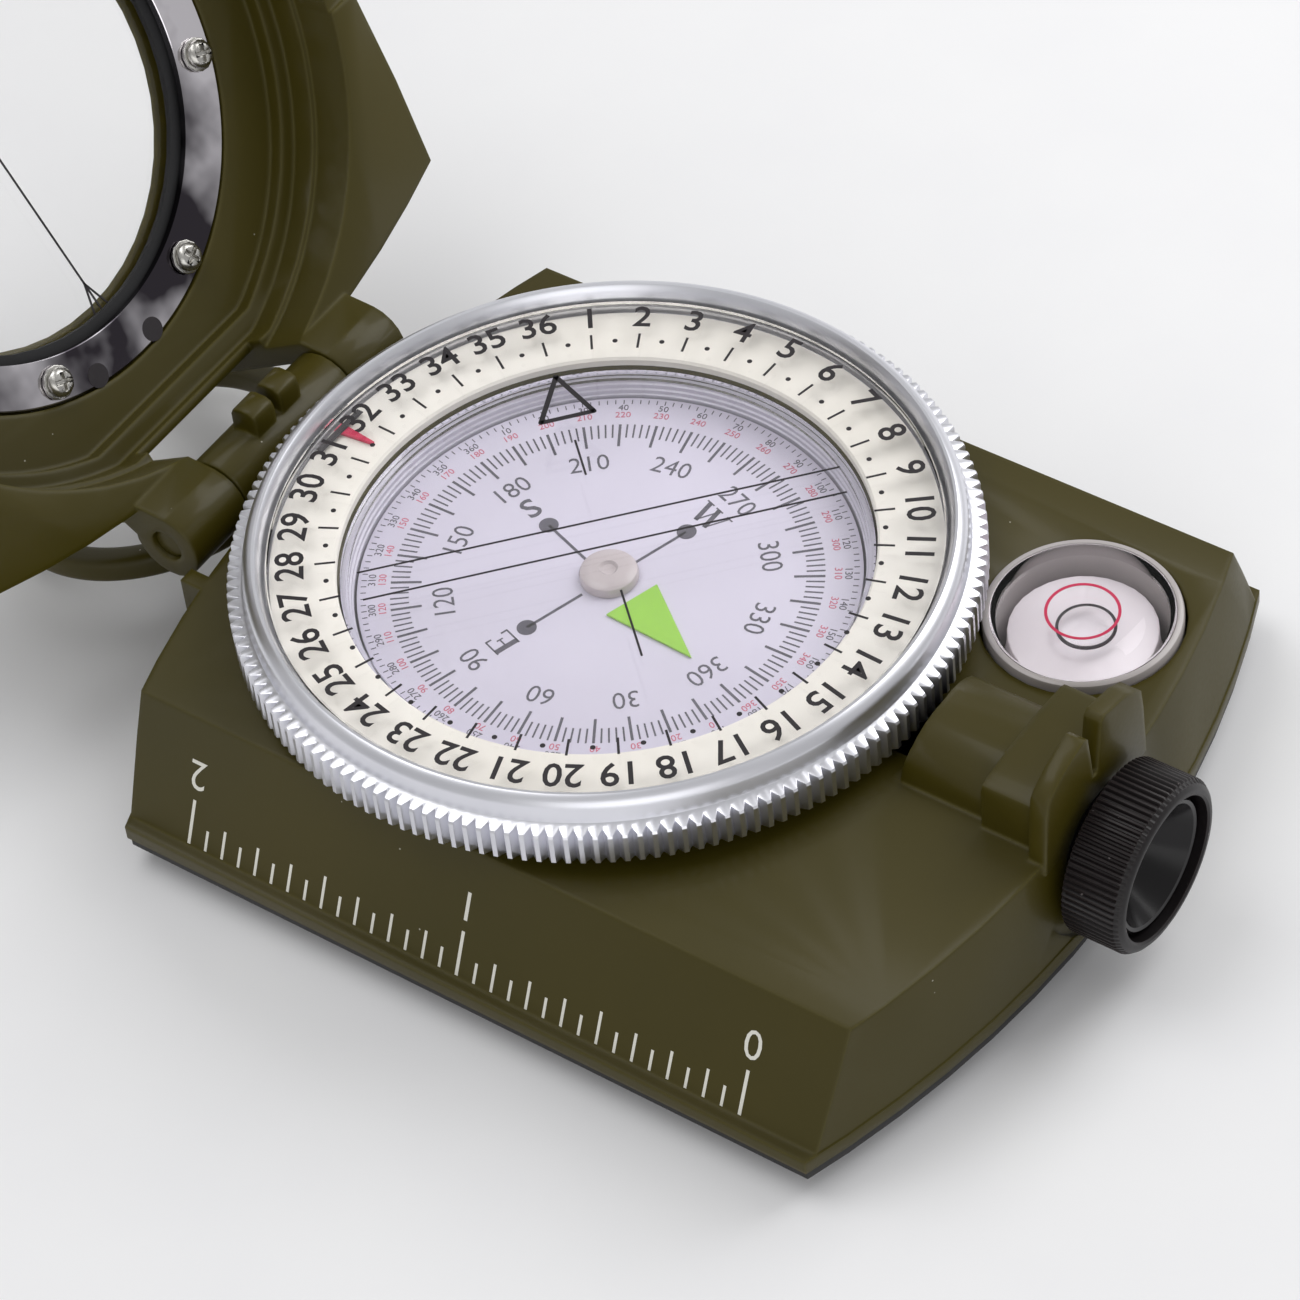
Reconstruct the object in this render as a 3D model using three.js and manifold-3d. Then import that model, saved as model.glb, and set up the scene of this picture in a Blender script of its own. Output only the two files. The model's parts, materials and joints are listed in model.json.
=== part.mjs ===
// Sighting compass: die-cast base with a tipped-back sighting lid, a knurled turning bezel, a
// liquid-filled card capsule, a round level, a prism sight with a focusing eyepiece and a thumb ring.
// Millimetres. +Z up, +X towards the eyepiece, -Y is the ruler side.
// The origin is on the foot face of the bottom cover, straight under the axis of the bezel.
import * as THREE from 'three';
import { mergeVertices } from 'three/addons/utils/BufferGeometryUtils.js';
import Module from 'manifold-3d';

const wasm = await Module();
wasm.setup();

// ---------------------------------------------------------------- driving dimensions
const FIT = 0.25; // gap between seated pieces
const RUNNING = 0.3; // gap between turning pieces

// bottom cover
const footHeight = 2.0; // raised foot panel under the cover's flange
const footInset = 5.5;
const flangeThickness = 1.0;

// base casting
const baseHeight = 11.1; // olive casting, from cover to top face
const seatMargin = 1.5; // top face beside the bezel's seat
const sideSlope = THREE.MathUtils.degToRad(24.8); // long sides lean out towards the cover
const endRadius = 92; // both ends are shallow arcs
const endDraft = THREE.MathUtils.degToRad(5);
const lipHeight = 1.3; // rim above the cover
const lipProud = 0.5; // along the two long sides; the ends are flush
const wallThickness = 2.2;
const postInset = 2.4; // screw post centre from the side's upper edge
const hingePostInset = 7.1; // screw post centre from each end's crown
const eyePostInset = 7.9;
const postRadius = 3.2;
const postHole = 1.1;

// capsule and card
const cardRadius = 19.6;
const cardThickness = 0.5;
const jewelRoom = 0.5; // between the jewel and the capsule window
const capsuleWall = 0.8;
const cupRoom = 4.7; // card face above the inner floor of the cup
const cupFloor = 1.0;
const windowStep = 0.9; // thickness of the capsule window
const magnetLength = 15;
const magnetWidth = 3.4;
const magnetThickness = 1.3;
const magnetTurn = 132.5; // degrees, the way the card's north points
const jewelRadius = 2.3;
const jewelHeight = 1.1;
const jewelBore = 0.95;
const pivotRadius = 0.55;
const cardMargin = 1.2; // from the card's rim to the well

// bezel, outwards from the capsule well
const seatWidth = 4.6; // seat between the well and the bezel's bore
const glassOverhang = 0.6; // glass past the seat
const glassThickness = 1.0;
const lipWidth = 0.95; // glass edge to the crown of the polished lip
const ledgeStep = 0.88;
const knurlStep = 1.29;
const bezelUnder = 1.25; // gap between the knurl and the top face
const bezelSkirt = 3.2; // knurled band height
const grooveLift = 0.55; // snap ring groove above the bezel's underside
const grooveHeight = 0.8;
const grooveDepth = 0.7;
const grooveCover = 0.4; // seat above the groove
const glowRoom = 1.65; // between the seat and the glass
const glowThickness = 0.88;
const lipRise = 1.35; // crown above the glass
const pointerLength = 3.5;
const pointerHalf = 0.5;

// hinge
const hingeDrop = -0.05; // hinge axis above the top face
const knuckleRadius = 3.05;
const hingeClear = 0.68; // between the barrel and the bezel, in plan
const webLength = 0.7; // between the barrel and the end's crown
const barrelHalf = 7.1; // half length of the base's centre barrel
const knuckleLength = 6.7; // each lid knuckle
const hingePinRadius = 1.35;
const pinClear = 0.1;
const lugInner = 0.45; // fore sight lugs on the barrel, across the axis
const lugOuter = 2.75;
const lugHeight = 5.2; // above the hinge axis
const lugRound = 0.75;
const lidOpenAngle = THREE.MathUtils.degToRad(121.6);

// level
const levelRadius = 7.7;
const levelTuck = 0.47; // the vial reaches this far under the bezel
const levelGap = 1.65; // between the sight block and the vial
const levelProud = 0.65;
const levelDepth = 5.2;
const levelWall = 1.65; // wall of the vial
const levelDrop = 1.75; // white disc below the top face

// sight block and eyepiece
const sightReach = 14.28; // from the knurl to the crown of the end wall
const flangeHalf = 7.1;
const flangeDepth = 1.5;
const flangeShoulder = 6.7; // shoulder height above the top face
const flangePeak = 8.35; // height of the ears beside the slot
const slotTopHalf = 0.95;
const slotBottomHalf = 0.3;
const slotBottom = 3.3; // slot floor above the top face
const housingHalf = 6.1;
const housingLength = 4.6;
const housingHeight = 4.75; // crown of the roof above the top face
const housingEdge = 0.9; // broad rounded edge of the roof
const tunnelHalf = 5.4;
const tunnelHeight = 4.1;
const tunnelClear = 1.28; // between the knurl and the tunnel's mouth
const lightHalf = 3.6;
const eyeLow = 0.21; // eyepiece above the cover
const eyeRadius = 7.04;
const eyeLength = 5.15;
const spotFace = 0.3; // flat face round the eyepiece, from the crown of the end wall
const spotClear = 0.6; // round the eyepiece
const eyeGap = 0.6; // between that face and the ring at full in
const gripWall = 1.19; // wall of the fluted ring
const cellStep = 0.8; // cell flange outside the tube
const lensMargin = 1.4; // bore to lens edge

// lid
const lidClear = 0.78; // between the closed skirt and the knurl
const skirtThickness = 1.8;
const skirtLift = 1.0; // closed skirt above the hinge axis
const lidOverBezel = 1.95; // lid plate above the closed bezel's lip
const plateThickness = 3.3;
const rimHeight = 1.1;
const retainerInset = 6.6; // retaining ring inside the skirt
const retainerWidth = 3.65;
const retainerThickness = 0.8;
const retainerRecess = 0.75; // face of its seat in the lid plate
const windowLap = 1.15; // clear window inside the retaining ring
const paneLap = 1.9; // pane past the clear window
const paneThickness = 1.3;
const paneDepth = 3.1; // seat of the pane above the plate's underside
const retainerScrews = 8;
const screwInset = 1.6; // screw circle inside the retaining ring's edge
const screwHeadRadius = 1.2;
const screwHeadHeight = 0.75;
const screwShankRadius = 0.5;
const screwLength = 2.4;
const washerThickness = 0.35;
const washerProud = 0.22;
const notchRadius = 1.1;
const notchTurns = [175, 192]; // degrees, notches in the retaining ring's edge
const hingeEdge = 3.9; // the lid's edge between its arms, from the hinge axis
const armBack = 2.6; // hinge side of each arm, from the hinge axis
const lugSweep = 1.4; // clear of the lugs as the lid turns

// thumb ring
const ringOuter = 13.4;
const ringWidth = 2.3;
const ringThickness = 2.2;
const ringTang = 1.5; // pivot outside the ring
const ringPivotIn = 0.9; // pivot from the hinge axis, towards the base
const ringPivotLift = 4.05; // above the cover
const ringTipGap = 0.07; // the ring hangs until its tip is just above the ground
const ringEyeRadius = 1.55;
const ringEyeHalf = 2.6;
const ringPinRadius = 0.7;
const ringEarWidth = 1.7;

// facets of round pieces, by size
const LID = 96;
const WIDE = 48;
const MIDDLE = 30;
const NARROW = 20;
const TINY = 8;
const END_ARC = 120; // of the full circle that the shallow end arcs belong to

// ---------------------------------------------------------------- derived radii and stations
const wellRadius = cardRadius + cardMargin;
const capsuleRadius = wellRadius - FIT;
const seatRadius = wellRadius + seatWidth;
const glassRadius = seatRadius + glassOverhang;
const lipRadius = glassRadius + lipWidth;
const ledgeRadius = lipRadius + ledgeStep;
const bezelRadius = ledgeRadius + knurlStep;
const hingeX = -(bezelRadius + knuckleRadius + hingeClear);
const hingeEndX = hingeX + knuckleRadius + webLength; // crown of the hinge-end arc on the top face
const eyeEndX = bezelRadius + sightReach; // crown of the eyepiece-end arc on the top face
const topHalfWidth = seatRadius + seatMargin;
const bottomHalfWidth = topHalfWidth + baseHeight * Math.tan(sideSlope);
const levelY = housingHalf + levelGap + levelRadius;
const levelX = Math.sqrt((bezelRadius + levelRadius - levelTuck) ** 2 - levelY ** 2);
const levelDiscRadius = levelRadius - levelWall - FIT;

const lidCentre = -hingeX;
const drumInner = bezelRadius + lidClear;
const drumRadius = drumInner + skirtThickness;
const retainerOuter = drumInner - retainerInset;
const retainerInner = retainerOuter - retainerWidth;
const screwCircle = retainerOuter - screwInset;
const windowRadius = retainerInner - windowLap;
const windowPane = windowRadius + paneLap;

const ringInner = ringOuter - ringWidth;
const ringReach = ringOuter + ringTang;
const ringPivotX = hingeX + ringPivotIn;

// ---------------------------------------------------------------- derived heights
const coverTop = footHeight + flangeThickness;
const topFace = coverTop + baseHeight;
const bezelBottom = topFace + bezelUnder;
const bezelShoulder = bezelBottom + bezelSkirt;
const grooveLow = bezelBottom + grooveLift;
const grooveHigh = grooveLow + grooveHeight;
const grooveRadius = seatRadius - grooveDepth;
const seatTop = grooveHigh + grooveCover; // raised seat that the bezel turns on
const glassTop = seatTop + glowRoom + glassThickness;
const capsuleTop = seatTop - 0.1;
const cardTop = capsuleTop - windowStep - jewelRoom - jewelHeight;
const capsuleBottom = cardTop - cupRoom - cupFloor;
const wellFloor = capsuleBottom - FIT;
const hingeZ = topFace + hingeDrop;
const eyeZ = coverTop + eyeLow + eyeRadius;
const ringPivotZ = coverTop + ringPivotLift;
const ringSlope = Math.asin((ringPivotZ - ringThickness / 2 - ringTipGap) / (ringReach + ringOuter));
const plateUnder = glassTop + lipRise + lidOverBezel - hingeZ; // above the hinge axis, closed
const plateTop = plateUnder + plateThickness;
const rimTop = plateTop + rimHeight;

// ---------------------------------------------------------------- solids
function manifoldOf(geometry) {
  const bare = geometry.index ? geometry.toNonIndexed() : geometry.clone();
  bare.deleteAttribute('normal');
  bare.deleteAttribute('uv');
  const merged = mergeVertices(bare, 1e-4);
  const index = merged.index.array;
  const kept = [];
  for (let i = 0; i < index.length; i += 3) {
    const [a, b, c] = [index[i], index[i + 1], index[i + 2]];
    if (a !== b && b !== c && c !== a) kept.push(a, b, c);
  }
  const position = merged.getAttribute('position');
  const corner = [new THREE.Vector3(), new THREE.Vector3(), new THREE.Vector3()];
  let volume = 0;
  for (let i = 0; i < kept.length; i += 3) {
    corner.forEach((point, k) => point.fromBufferAttribute(position, kept[i + k]));
    volume += corner[0].dot(corner[1].clone().cross(corner[2]));
  }
  const triVerts = volume < 0 ? kept.reverse() : kept; // faces point outwards
  return new wasm.Manifold(new wasm.Mesh({
    numProp: 3,
    vertProperties: position.array,
    triVerts: new Uint32Array(triVerts),
  }));
}

function geometryOf(solid) {
  const mesh = solid.getMesh();
  const geometry = new THREE.BufferGeometry();
  geometry.setAttribute('position', new THREE.BufferAttribute(mesh.vertProperties, 3));
  geometry.setIndex(new THREE.BufferAttribute(mesh.triVerts, 1));
  return geometry;
}

const join = (...solids) => solids.reduce((whole, piece) => whole.add(piece));
const cut = (whole, ...tools) => tools.reduce((rest, tool) => rest.subtract(tool), whole);

// A closed ring or disc about Z from [radius, height] points of its half section.
function turned(profile, segments = WIDE) {
  const points = profile.map(([r, z]) => new THREE.Vector2(r, z));
  const onAxis = profile[0][0] === 0 && profile[profile.length - 1][0] === 0;
  if (!onAxis) points.push(points[0].clone());
  const geometry = new THREE.LatheGeometry(points, segments);
  geometry.rotateX(Math.PI / 2);
  return manifoldOf(geometry);
}

const disc = (radius, low, high, segments = WIDE) =>
  turned([[0, low], [radius, low], [radius, high], [0, high]], segments);
const ring = (inner, outer, low, high, segments = WIDE) =>
  turned([[inner, low], [outer, low], [outer, high], [inner, high]], segments);

function box(x0, x1, y0, y1, z0, z1) {
  const geometry = new THREE.BoxGeometry(x1 - x0, y1 - y0, z1 - z0);
  geometry.translate((x0 + x1) / 2, (y0 + y1) / 2, (z0 + z1) / 2);
  return manifoldOf(geometry);
}

// A plate of an XY outline between two heights.
function plate(outline, low, high, curveSegments = 16) {
  const shape = outline instanceof THREE.Shape
    ? outline
    : new THREE.Shape(outline.map(([x, y]) => new THREE.Vector2(x, y)));
  const depth = high - low;
  const geometry = new THREE.ExtrudeGeometry(shape, { depth, bevelEnabled: false, curveSegments });
  geometry.translate(0, 0, low);
  return manifoldOf(geometry);
}

// A bar along Y of an XZ outline between two stations.
function barY(outline, y0, y1, curveSegments = 16) {
  const shape = new THREE.Shape(outline.map(([x, z]) => new THREE.Vector2(x, z)));
  const depth = y1 - y0;
  const geometry = new THREE.ExtrudeGeometry(shape, { depth, bevelEnabled: false, curveSegments });
  geometry.rotateX(Math.PI / 2); // outline now in XZ, extruded towards -Y
  geometry.translate(0, y1, 0);
  return manifoldOf(geometry);
}

// A bar along X of a YZ outline between two stations.
function barX(outline, x0, x1) {
  const shape = new THREE.Shape(outline.map(([y, z]) => new THREE.Vector2(y, z)));
  const geometry = new THREE.ExtrudeGeometry(shape, { depth: x1 - x0, bevelEnabled: false });
  geometry.rotateX(Math.PI / 2);
  geometry.rotateZ(Math.PI / 2);
  geometry.translate(x0, 0, 0);
  return manifoldOf(geometry);
}

// A rod along Y or X.
function rodY(radius, x, z, y0, y1, segments = NARROW) {
  const geometry = new THREE.CylinderGeometry(radius, radius, y1 - y0, segments);
  geometry.translate(x, (y0 + y1) / 2, z);
  return manifoldOf(geometry);
}

function turnedX(profile, y, z, segments = NARROW) {
  return turned(profile, segments).rotate([0, 90, 0]).translate([0, y, z]);
}

function mesh(name, solid, { color, roughness, metalness = 0 }, parent) {
  const material = new THREE.MeshStandardMaterial({ color, roughness, metalness });
  const node = new THREE.Mesh(geometryOf(solid), material);
  node.name = name;
  parent.add(node);
  return node;
}

// ---------------------------------------------------------------- finishes
const olivePaint = { color: 0x4f4a35, roughness: 0.5 };
const blackPlastic = { color: 0x141214, roughness: 0.55 };
const brightAluminium = { color: 0xd4d6dc, roughness: 0.3, metalness: 1 };
const mirrorSteel = { color: 0xdcdde0, roughness: 0.08, metalness: 1 };
const steel = { color: 0xb8b9bc, roughness: 0.35, metalness: 1 };
const clearPlastic = { color: 0xf0f0f4, roughness: 0.05 };
const creamGlow = { color: 0xd8d2c6, roughness: 0.6 };
const cardWhite = { color: 0xcfc8d6, roughness: 0.7 };
const redPaint = { color: 0xc83c50, roughness: 0.5 };
const whitePlastic = { color: 0xe2dee2, roughness: 0.5 };
const blackRubber = { color: 0x101012, roughness: 0.8 };

// ---------------------------------------------------------------- base casting
const compass = new THREE.Group();

const endCone = (crownX, side, inset = 0) => {
  const centreX = crownX - side * endRadius;
  const top = endRadius - inset;
  const bottom = top + baseHeight * Math.tan(endDraft);
  return turned([[0, coverTop], [bottom, coverTop], [top, topFace], [0, topFace]], END_ARC)
    .translate([centreX, 0, 0]);
};

// The body between the two end arcs, with its long sides leaning out, shrunk by inset all round.
function baseBlock(inset) {
  const bottom = bottomHalfWidth - inset;
  const top = topHalfWidth - inset;
  const bar = barX(
    [[-bottom, coverTop], [bottom, coverTop], [top, topFace], [-top, topFace]],
    hingeEndX - 5,
    eyeEndX + 5,
  );
  return bar.intersect(endCone(eyeEndX, 1, inset)).intersect(endCone(hingeEndX, -1, inset));
}

// A plate of the base's lower outline, grown by proud on the long sides and by endProud at the ends.
function baseRim(low, high, proud, endProud) {
  const half = bottomHalfWidth + proud;
  const grow = baseHeight * Math.tan(endDraft) + endProud;
  const slab = box(hingeEndX - 6, eyeEndX + 6, -half, half, low, high);
  const eyeArc = disc(endRadius + grow, low, high, END_ARC).translate([eyeEndX - endRadius, 0, 0]);
  const hingeArc = disc(endRadius + grow, low, high, END_ARC).translate([hingeEndX + endRadius, 0, 0]);
  return slab.intersect(eyeArc).intersect(hingeArc);
}

const postY = topHalfWidth - postInset;
const screwPosts = [-1, 1].flatMap((side) => [
  [hingeEndX + hingePostInset, side * postY],
  [eyeEndX - eyePostInset, side * postY],
]);

function capsuleSeat() {
  return turned([
    [wellRadius, topFace - 1], [seatRadius, topFace - 1], [seatRadius, grooveLow],
    [grooveRadius, grooveLow], [grooveRadius, grooveHigh], [seatRadius, grooveHigh],
    [seatRadius, seatTop], [wellRadius, seatTop],
  ]);
}

const hingeBarrel = rodY(knuckleRadius, hingeX, hingeZ, -barrelHalf, barrelHalf);
const hingeWeb = box(hingeX, hingeEndX + 1.6, -barrelHalf, barrelHalf, hingeZ - knuckleRadius + 0.4, topFace);

// Two square lugs with rounded crowns on the barrel leave the fore sight notch between them.
function sightLug(side) {
  const inner = side * lugInner;
  const outer = side * lugOuter;
  const crown = hingeZ + lugHeight;
  const [back, front] = [hingeX - 1.3, hingeX + 1.2];
  const outline = [
    [back, hingeZ], [front, hingeZ], [front, crown - lugRound],
    [front - lugRound * 0.3, crown - lugRound * 0.3], [front - lugRound, crown],
    [back + lugRound, crown], [back + lugRound * 0.3, crown - lugRound * 0.3], [back, crown - lugRound],
  ];
  return barY(outline, Math.min(inner, outer), Math.max(inner, outer));
}

const hingeStop = (side) => {
  const y = side * (barrelHalf + knuckleLength + 1.0);
  return box(hingeEndX - 0.5, hingeEndX + 2.2, Math.min(y, y + side * 1.4), Math.max(y, y + side * 1.4),
    topFace - 5, topFace);
};

const ringEar = (side) => {
  const inner = side * (ringEyeHalf + RUNNING);
  const outer = inner + side * ringEarWidth;
  const [y0, y1] = [Math.min(inner, outer), Math.max(inner, outer)];
  const [low, high] = [ringPivotZ - ringEyeRadius, ringPivotZ + ringEyeRadius];
  const stub = box(ringPivotX, hingeEndX + 1.0, y0, y1, low, high);
  return stub.add(rodY(ringEyeRadius, ringPivotX, ringPivotZ, y0, y1, 16));
};

// Sight block: low arched tunnel, prism housing with a crowned roof, and a flange with two ears.
const flangeX = eyeEndX - flangeDepth;
const housingX = flangeX - housingLength;

function arch(halfWidth, low, high, steps = 10) {
  const points = [];
  for (let i = 0; i <= steps; i += 1) {
    const angle = Math.PI * (i / steps);
    points.push([halfWidth * Math.cos(angle), low + (high - low) * Math.sin(angle)]);
  }
  return points;
}

// The right half of an outline, from foot to crown, made whole about y = 0.
const bothSides = (half) => [...half, ...half.map(([y, z]) => [-y, z]).reverse()];

function sightBlock() {
  const root = topFace - 1;
  const tunnel = barX(
    [[tunnelHalf, root], ...arch(tunnelHalf, topFace, topFace + tunnelHeight, 14), [-tunnelHalf, root]],
    bezelRadius,
    flangeX + 0.2,
  );
  const eaves = topFace + housingHeight - 0.3;
  const housing = barX(bothSides([
    [housingHalf, root], [housingHalf - 0.1, eaves - housingEdge],
    [housingHalf - 0.1 - housingEdge * 0.3, eaves - housingEdge * 0.3],
    [housingHalf - 0.1 - housingEdge, eaves], [housingHalf * 0.4, topFace + housingHeight],
  ]), housingX, flangeX + 0.2);
  const ear = flangeHalf - 0.75;
  const flange = barX(bothSides([
    [flangeHalf, root], [flangeHalf - 0.3, topFace + flangeShoulder * 0.6],
    [ear + 0.15, topFace + flangeShoulder - 0.6], [ear - 0.3, topFace + flangeShoulder],
    [ear * 0.7, topFace + flangeShoulder + (flangePeak - flangeShoulder) * 0.55],
    [slotTopHalf + 0.5, topFace + flangePeak], [slotTopHalf, topFace + flangePeak - 0.35],
    [slotBottomHalf, topFace + slotBottom],
  ]), flangeX, eyeEndX);
  const bezelSweep = disc(bezelRadius + tunnelClear, topFace + 0.02, topFace + 12);
  return cut(join(tunnel, housing, flange), bezelSweep);
}

const prismRoom = {
  x0: housingX + 0.9,
  x1: eyeEndX - 1.9,
  half: housingHalf - 1.5,
  z0: coverTop,
  z1: topFace + housingHeight - 2.35,
};

const cellRadius = eyeRadius - gripWall - 0.35;
const focusBore = cellRadius - cellStep;
const lensRadius = focusBore - lensMargin;

function baseCasting() {
  const outside = join(
    baseBlock(0),
    baseRim(coverTop, coverTop + lipHeight, lipProud, 0),
    capsuleSeat(),
    hingeBarrel,
    hingeWeb,
    sightLug(1),
    sightLug(-1),
    hingeStop(1),
    hingeStop(-1),
    ringEar(1),
    ringEar(-1),
    sightBlock(),
  );
  const wellWall = disc(wellRadius + 1.6, coverTop - 1, topFace, MIDDLE);
  const levelBoss = disc(levelRadius + 1.6, coverTop - 1, topFace, NARROW).translate([levelX, levelY, 0]);
  const prismWall = box(prismRoom.x0 - 1.4, eyeEndX, -prismRoom.half - 1.4, prismRoom.half + 1.4,
    coverTop - 1, topFace);
  const posts = screwPosts.map(([x, y]) => disc(postRadius, coverTop - 1, topFace, 12).translate([x, y, 0]));
  const inside = baseBlock(wallThickness)
    .intersect(box(-60, 60, -60, 60, coverTop - 1, topFace - wallThickness));
  const underside = cut(inside, wellWall, levelBoss, prismWall, ...posts);
  const well = disc(wellRadius, wellFloor, glassTop);
  const levelWell = disc(levelRadius + FIT, topFace - levelDepth, topFace + 1, MIDDLE)
    .translate([levelX, levelY, 0]);
  const prismBox = box(prismRoom.x0, prismRoom.x1, -prismRoom.half, prismRoom.half,
    coverTop - 1, prismRoom.z1);
  const lightPath = barX(arch(lightHalf, topFace - 1.6, topFace + 1.6), wellRadius - 2, prismRoom.x0 + 1)
    .add(box(wellRadius - 2, prismRoom.x0 + 1, -lightHalf, lightHalf, topFace - 3.2, topFace - 1.6));
  const focusHole = turnedX([
    [0, prismRoom.x1 - 1], [focusBore, prismRoom.x1 - 1], [focusBore, eyeEndX + spotFace],
    [eyeRadius + spotClear, eyeEndX + spotFace], [eyeRadius + spotClear, eyeEndX + 6], [0, eyeEndX + 6],
  ], 0, eyeZ, MIDDLE);
  const pinHole = rodY(hingePinRadius + pinClear, hingeX, hingeZ, -20, 20, 16);
  const ringPinHole = rodY(ringPinRadius + 0.08, ringPivotX, ringPivotZ, -20, 20, TINY);
  const postHoles = screwPosts.map(([x, y]) =>
    disc(postHole, coverTop - 1, coverTop + 6, TINY).translate([x, y, 0]));
  return cut(outside, underside, well, levelWell, prismBox, lightPath, focusHole, pinHole,
    ringPinHole, ...postHoles);
}

mesh('base_casting', baseCasting(), olivePaint, compass);

// ---------------------------------------------------------------- bottom cover and its screws
const coverScrewHead = 1.9;
const coverScrewHeadHeight = 0.7;

function bottomCover() {
  const flange = baseRim(footHeight, coverTop - 0.02, lipProud - 0.3, -0.2);
  const foot = baseRim(0, footHeight + 0.1, -footInset, -footInset);
  const recesses = screwPosts.map(([x, y]) => join(
    disc(coverScrewHead + 0.7, -1, footHeight, 16),
    disc(coverScrewHead + 0.2, footHeight - 0.1, footHeight + coverScrewHeadHeight - 0.3, 16),
    disc(postHole, footHeight, coverTop + 1, TINY),
  ).translate([x, y, 0]));
  return cut(flange.add(foot), ...recesses);
}

mesh('bottom_cover', bottomCover(), blackPlastic, compass);

function panScrew(headRadius, headHeight, shankRadius, length, segments = TINY) {
  const slotHalf = headRadius * 0.14;
  const slotReach = headRadius * 0.62;
  const body = turned([
    [0, 0], [shankRadius, 0], [shankRadius, length], [headRadius, length],
    [headRadius, length + headHeight * 0.45], [headRadius * 0.72, length + headHeight * 0.88],
    [0, length + headHeight],
  ], segments);
  const depth = length + headHeight * 0.35;
  return cut(
    body,
    box(-slotReach, slotReach, -slotHalf, slotHalf, depth, length + headHeight + 1),
    box(-slotHalf, slotHalf, -slotReach, slotReach, depth, length + headHeight + 1),
  );
}

screwPosts.forEach(([x, y], i) => {
  const seat = footHeight + coverScrewHeadHeight - 0.3 - 0.05;
  const screw = panScrew(coverScrewHead, coverScrewHeadHeight, 0.9, 5.2, 12)
    .rotate([180, 0, 0])
    .translate([x, y, seat + 5.2]);
  mesh(`cover_screw_${i + 1}`, screw, steel, compass);
});

// ---------------------------------------------------------------- hinge pin and thumb ring
const pinHalf = barrelHalf + knuckleLength - 0.35;
mesh('hinge_pin', rodY(hingePinRadius, hingeX, hingeZ, -pinHalf, pinHalf, 16), olivePaint, compass);
mesh('thumb_ring_pin', rodY(ringPinRadius, ringPivotX, ringPivotZ,
  -(ringEyeHalf + RUNNING + ringEarWidth), ringEyeHalf + RUNNING + ringEarWidth, TINY), steel, compass);

function thumbRing() {
  const half = ringThickness / 2;
  const soft = 0.35; // rounded edges of the band
  const band = turned([
    [ringInner, -half + soft], [ringInner + soft, -half], [ringOuter - soft, -half],
    [ringOuter, -half + soft], [ringOuter, half - soft], [ringOuter - soft, half],
    [ringInner + soft, half], [ringInner, half - soft],
  ]).translate([-ringReach, 0, 0]);
  const tang = box(-ringReach + ringInner + 1.2, 0, -ringEyeHalf, ringEyeHalf, -half * 0.9, half * 0.9);
  const eye = rodY(ringEyeRadius, 0, 0, -ringEyeHalf, ringEyeHalf, 16);
  const hole = rodY(ringPinRadius + 0.08, 0, 0, -5, 5, TINY);
  return cut(join(band, tang, eye), hole);
}

const ringGroup = new THREE.Group();
ringGroup.position.set(ringPivotX, 0, ringPivotZ);
ringGroup.rotation.y = -ringSlope;
compass.add(ringGroup);
mesh('thumb_ring', thumbRing(), olivePaint, ringGroup);

// ---------------------------------------------------------------- bezel
const glassSeat = glassTop - glassThickness;

function bezelRing() {
  const bore = seatRadius + RUNNING;
  return turned([
    [bore, bezelBottom], [bezelRadius - 0.3, bezelBottom], [bezelRadius, bezelBottom + 0.3],
    [bezelRadius, bezelShoulder - 0.02], [ledgeRadius + 0.35, bezelShoulder + 0.3],
    [ledgeRadius, bezelShoulder + 0.36], [ledgeRadius - 0.2, glassTop + 0.55],
    [lipRadius + 0.35, glassTop + lipRise - 0.15], [lipRadius - 0.1, glassTop + lipRise],
    [lipRadius - 0.5, glassTop + lipRise - 0.35], [glassRadius + 0.12, glassTop - 0.2],
    [glassRadius + 0.12, seatTop + 0.1], [bore, seatTop + 0.1], [bore, grooveHigh],
    [bore + 0.45, grooveHigh], [bore + 0.45, grooveLow], [bore, grooveLow],
  ]);
}

mesh('bezel_ring', bezelRing(), brightAluminium, compass);
mesh('bezel_glass', disc(glassRadius, glassSeat, glassTop), clearPlastic, compass);

// A split wire ring in the two grooves keeps the bezel on its seat.
function bezelSnapRing() {
  const whole = ring(grooveRadius + 0.1, seatRadius + RUNNING + 0.3, grooveLow + 0.15, grooveHigh - 0.15);
  return whole.subtract(box(-2, 2, 0, 40, 0, 40));
}

mesh('bezel_snap_ring', bezelSnapRing(), steel, compass);

const glowLow = seatTop + 0.14;
const glowTop = glowLow + glowThickness;
mesh('luminous_ring', ring(wellRadius, glassRadius - 0.2, glowLow, glowTop), creamGlow, compass);

// Red pointer on the luminous ring, towards the hinge.
const pointerBase = -(glassRadius - 0.4);
mesh('index_pointer', plate([
  [pointerBase, pointerHalf], [pointerBase, -pointerHalf],
  [pointerBase + pointerLength, -0.1], [pointerBase + pointerLength, 0.1],
], glowTop + 0.02, glowTop + 0.3), redPaint, compass);

// ---------------------------------------------------------------- capsule and card
function capsuleCup() {
  const inner = capsuleRadius - capsuleWall;
  return turned([
    [0, capsuleBottom], [capsuleRadius, capsuleBottom], [capsuleRadius, capsuleTop - 1.2],
    [inner, capsuleTop - 1.2], [inner, capsuleBottom + cupFloor], [0, capsuleBottom + cupFloor],
  ]);
}

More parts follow.
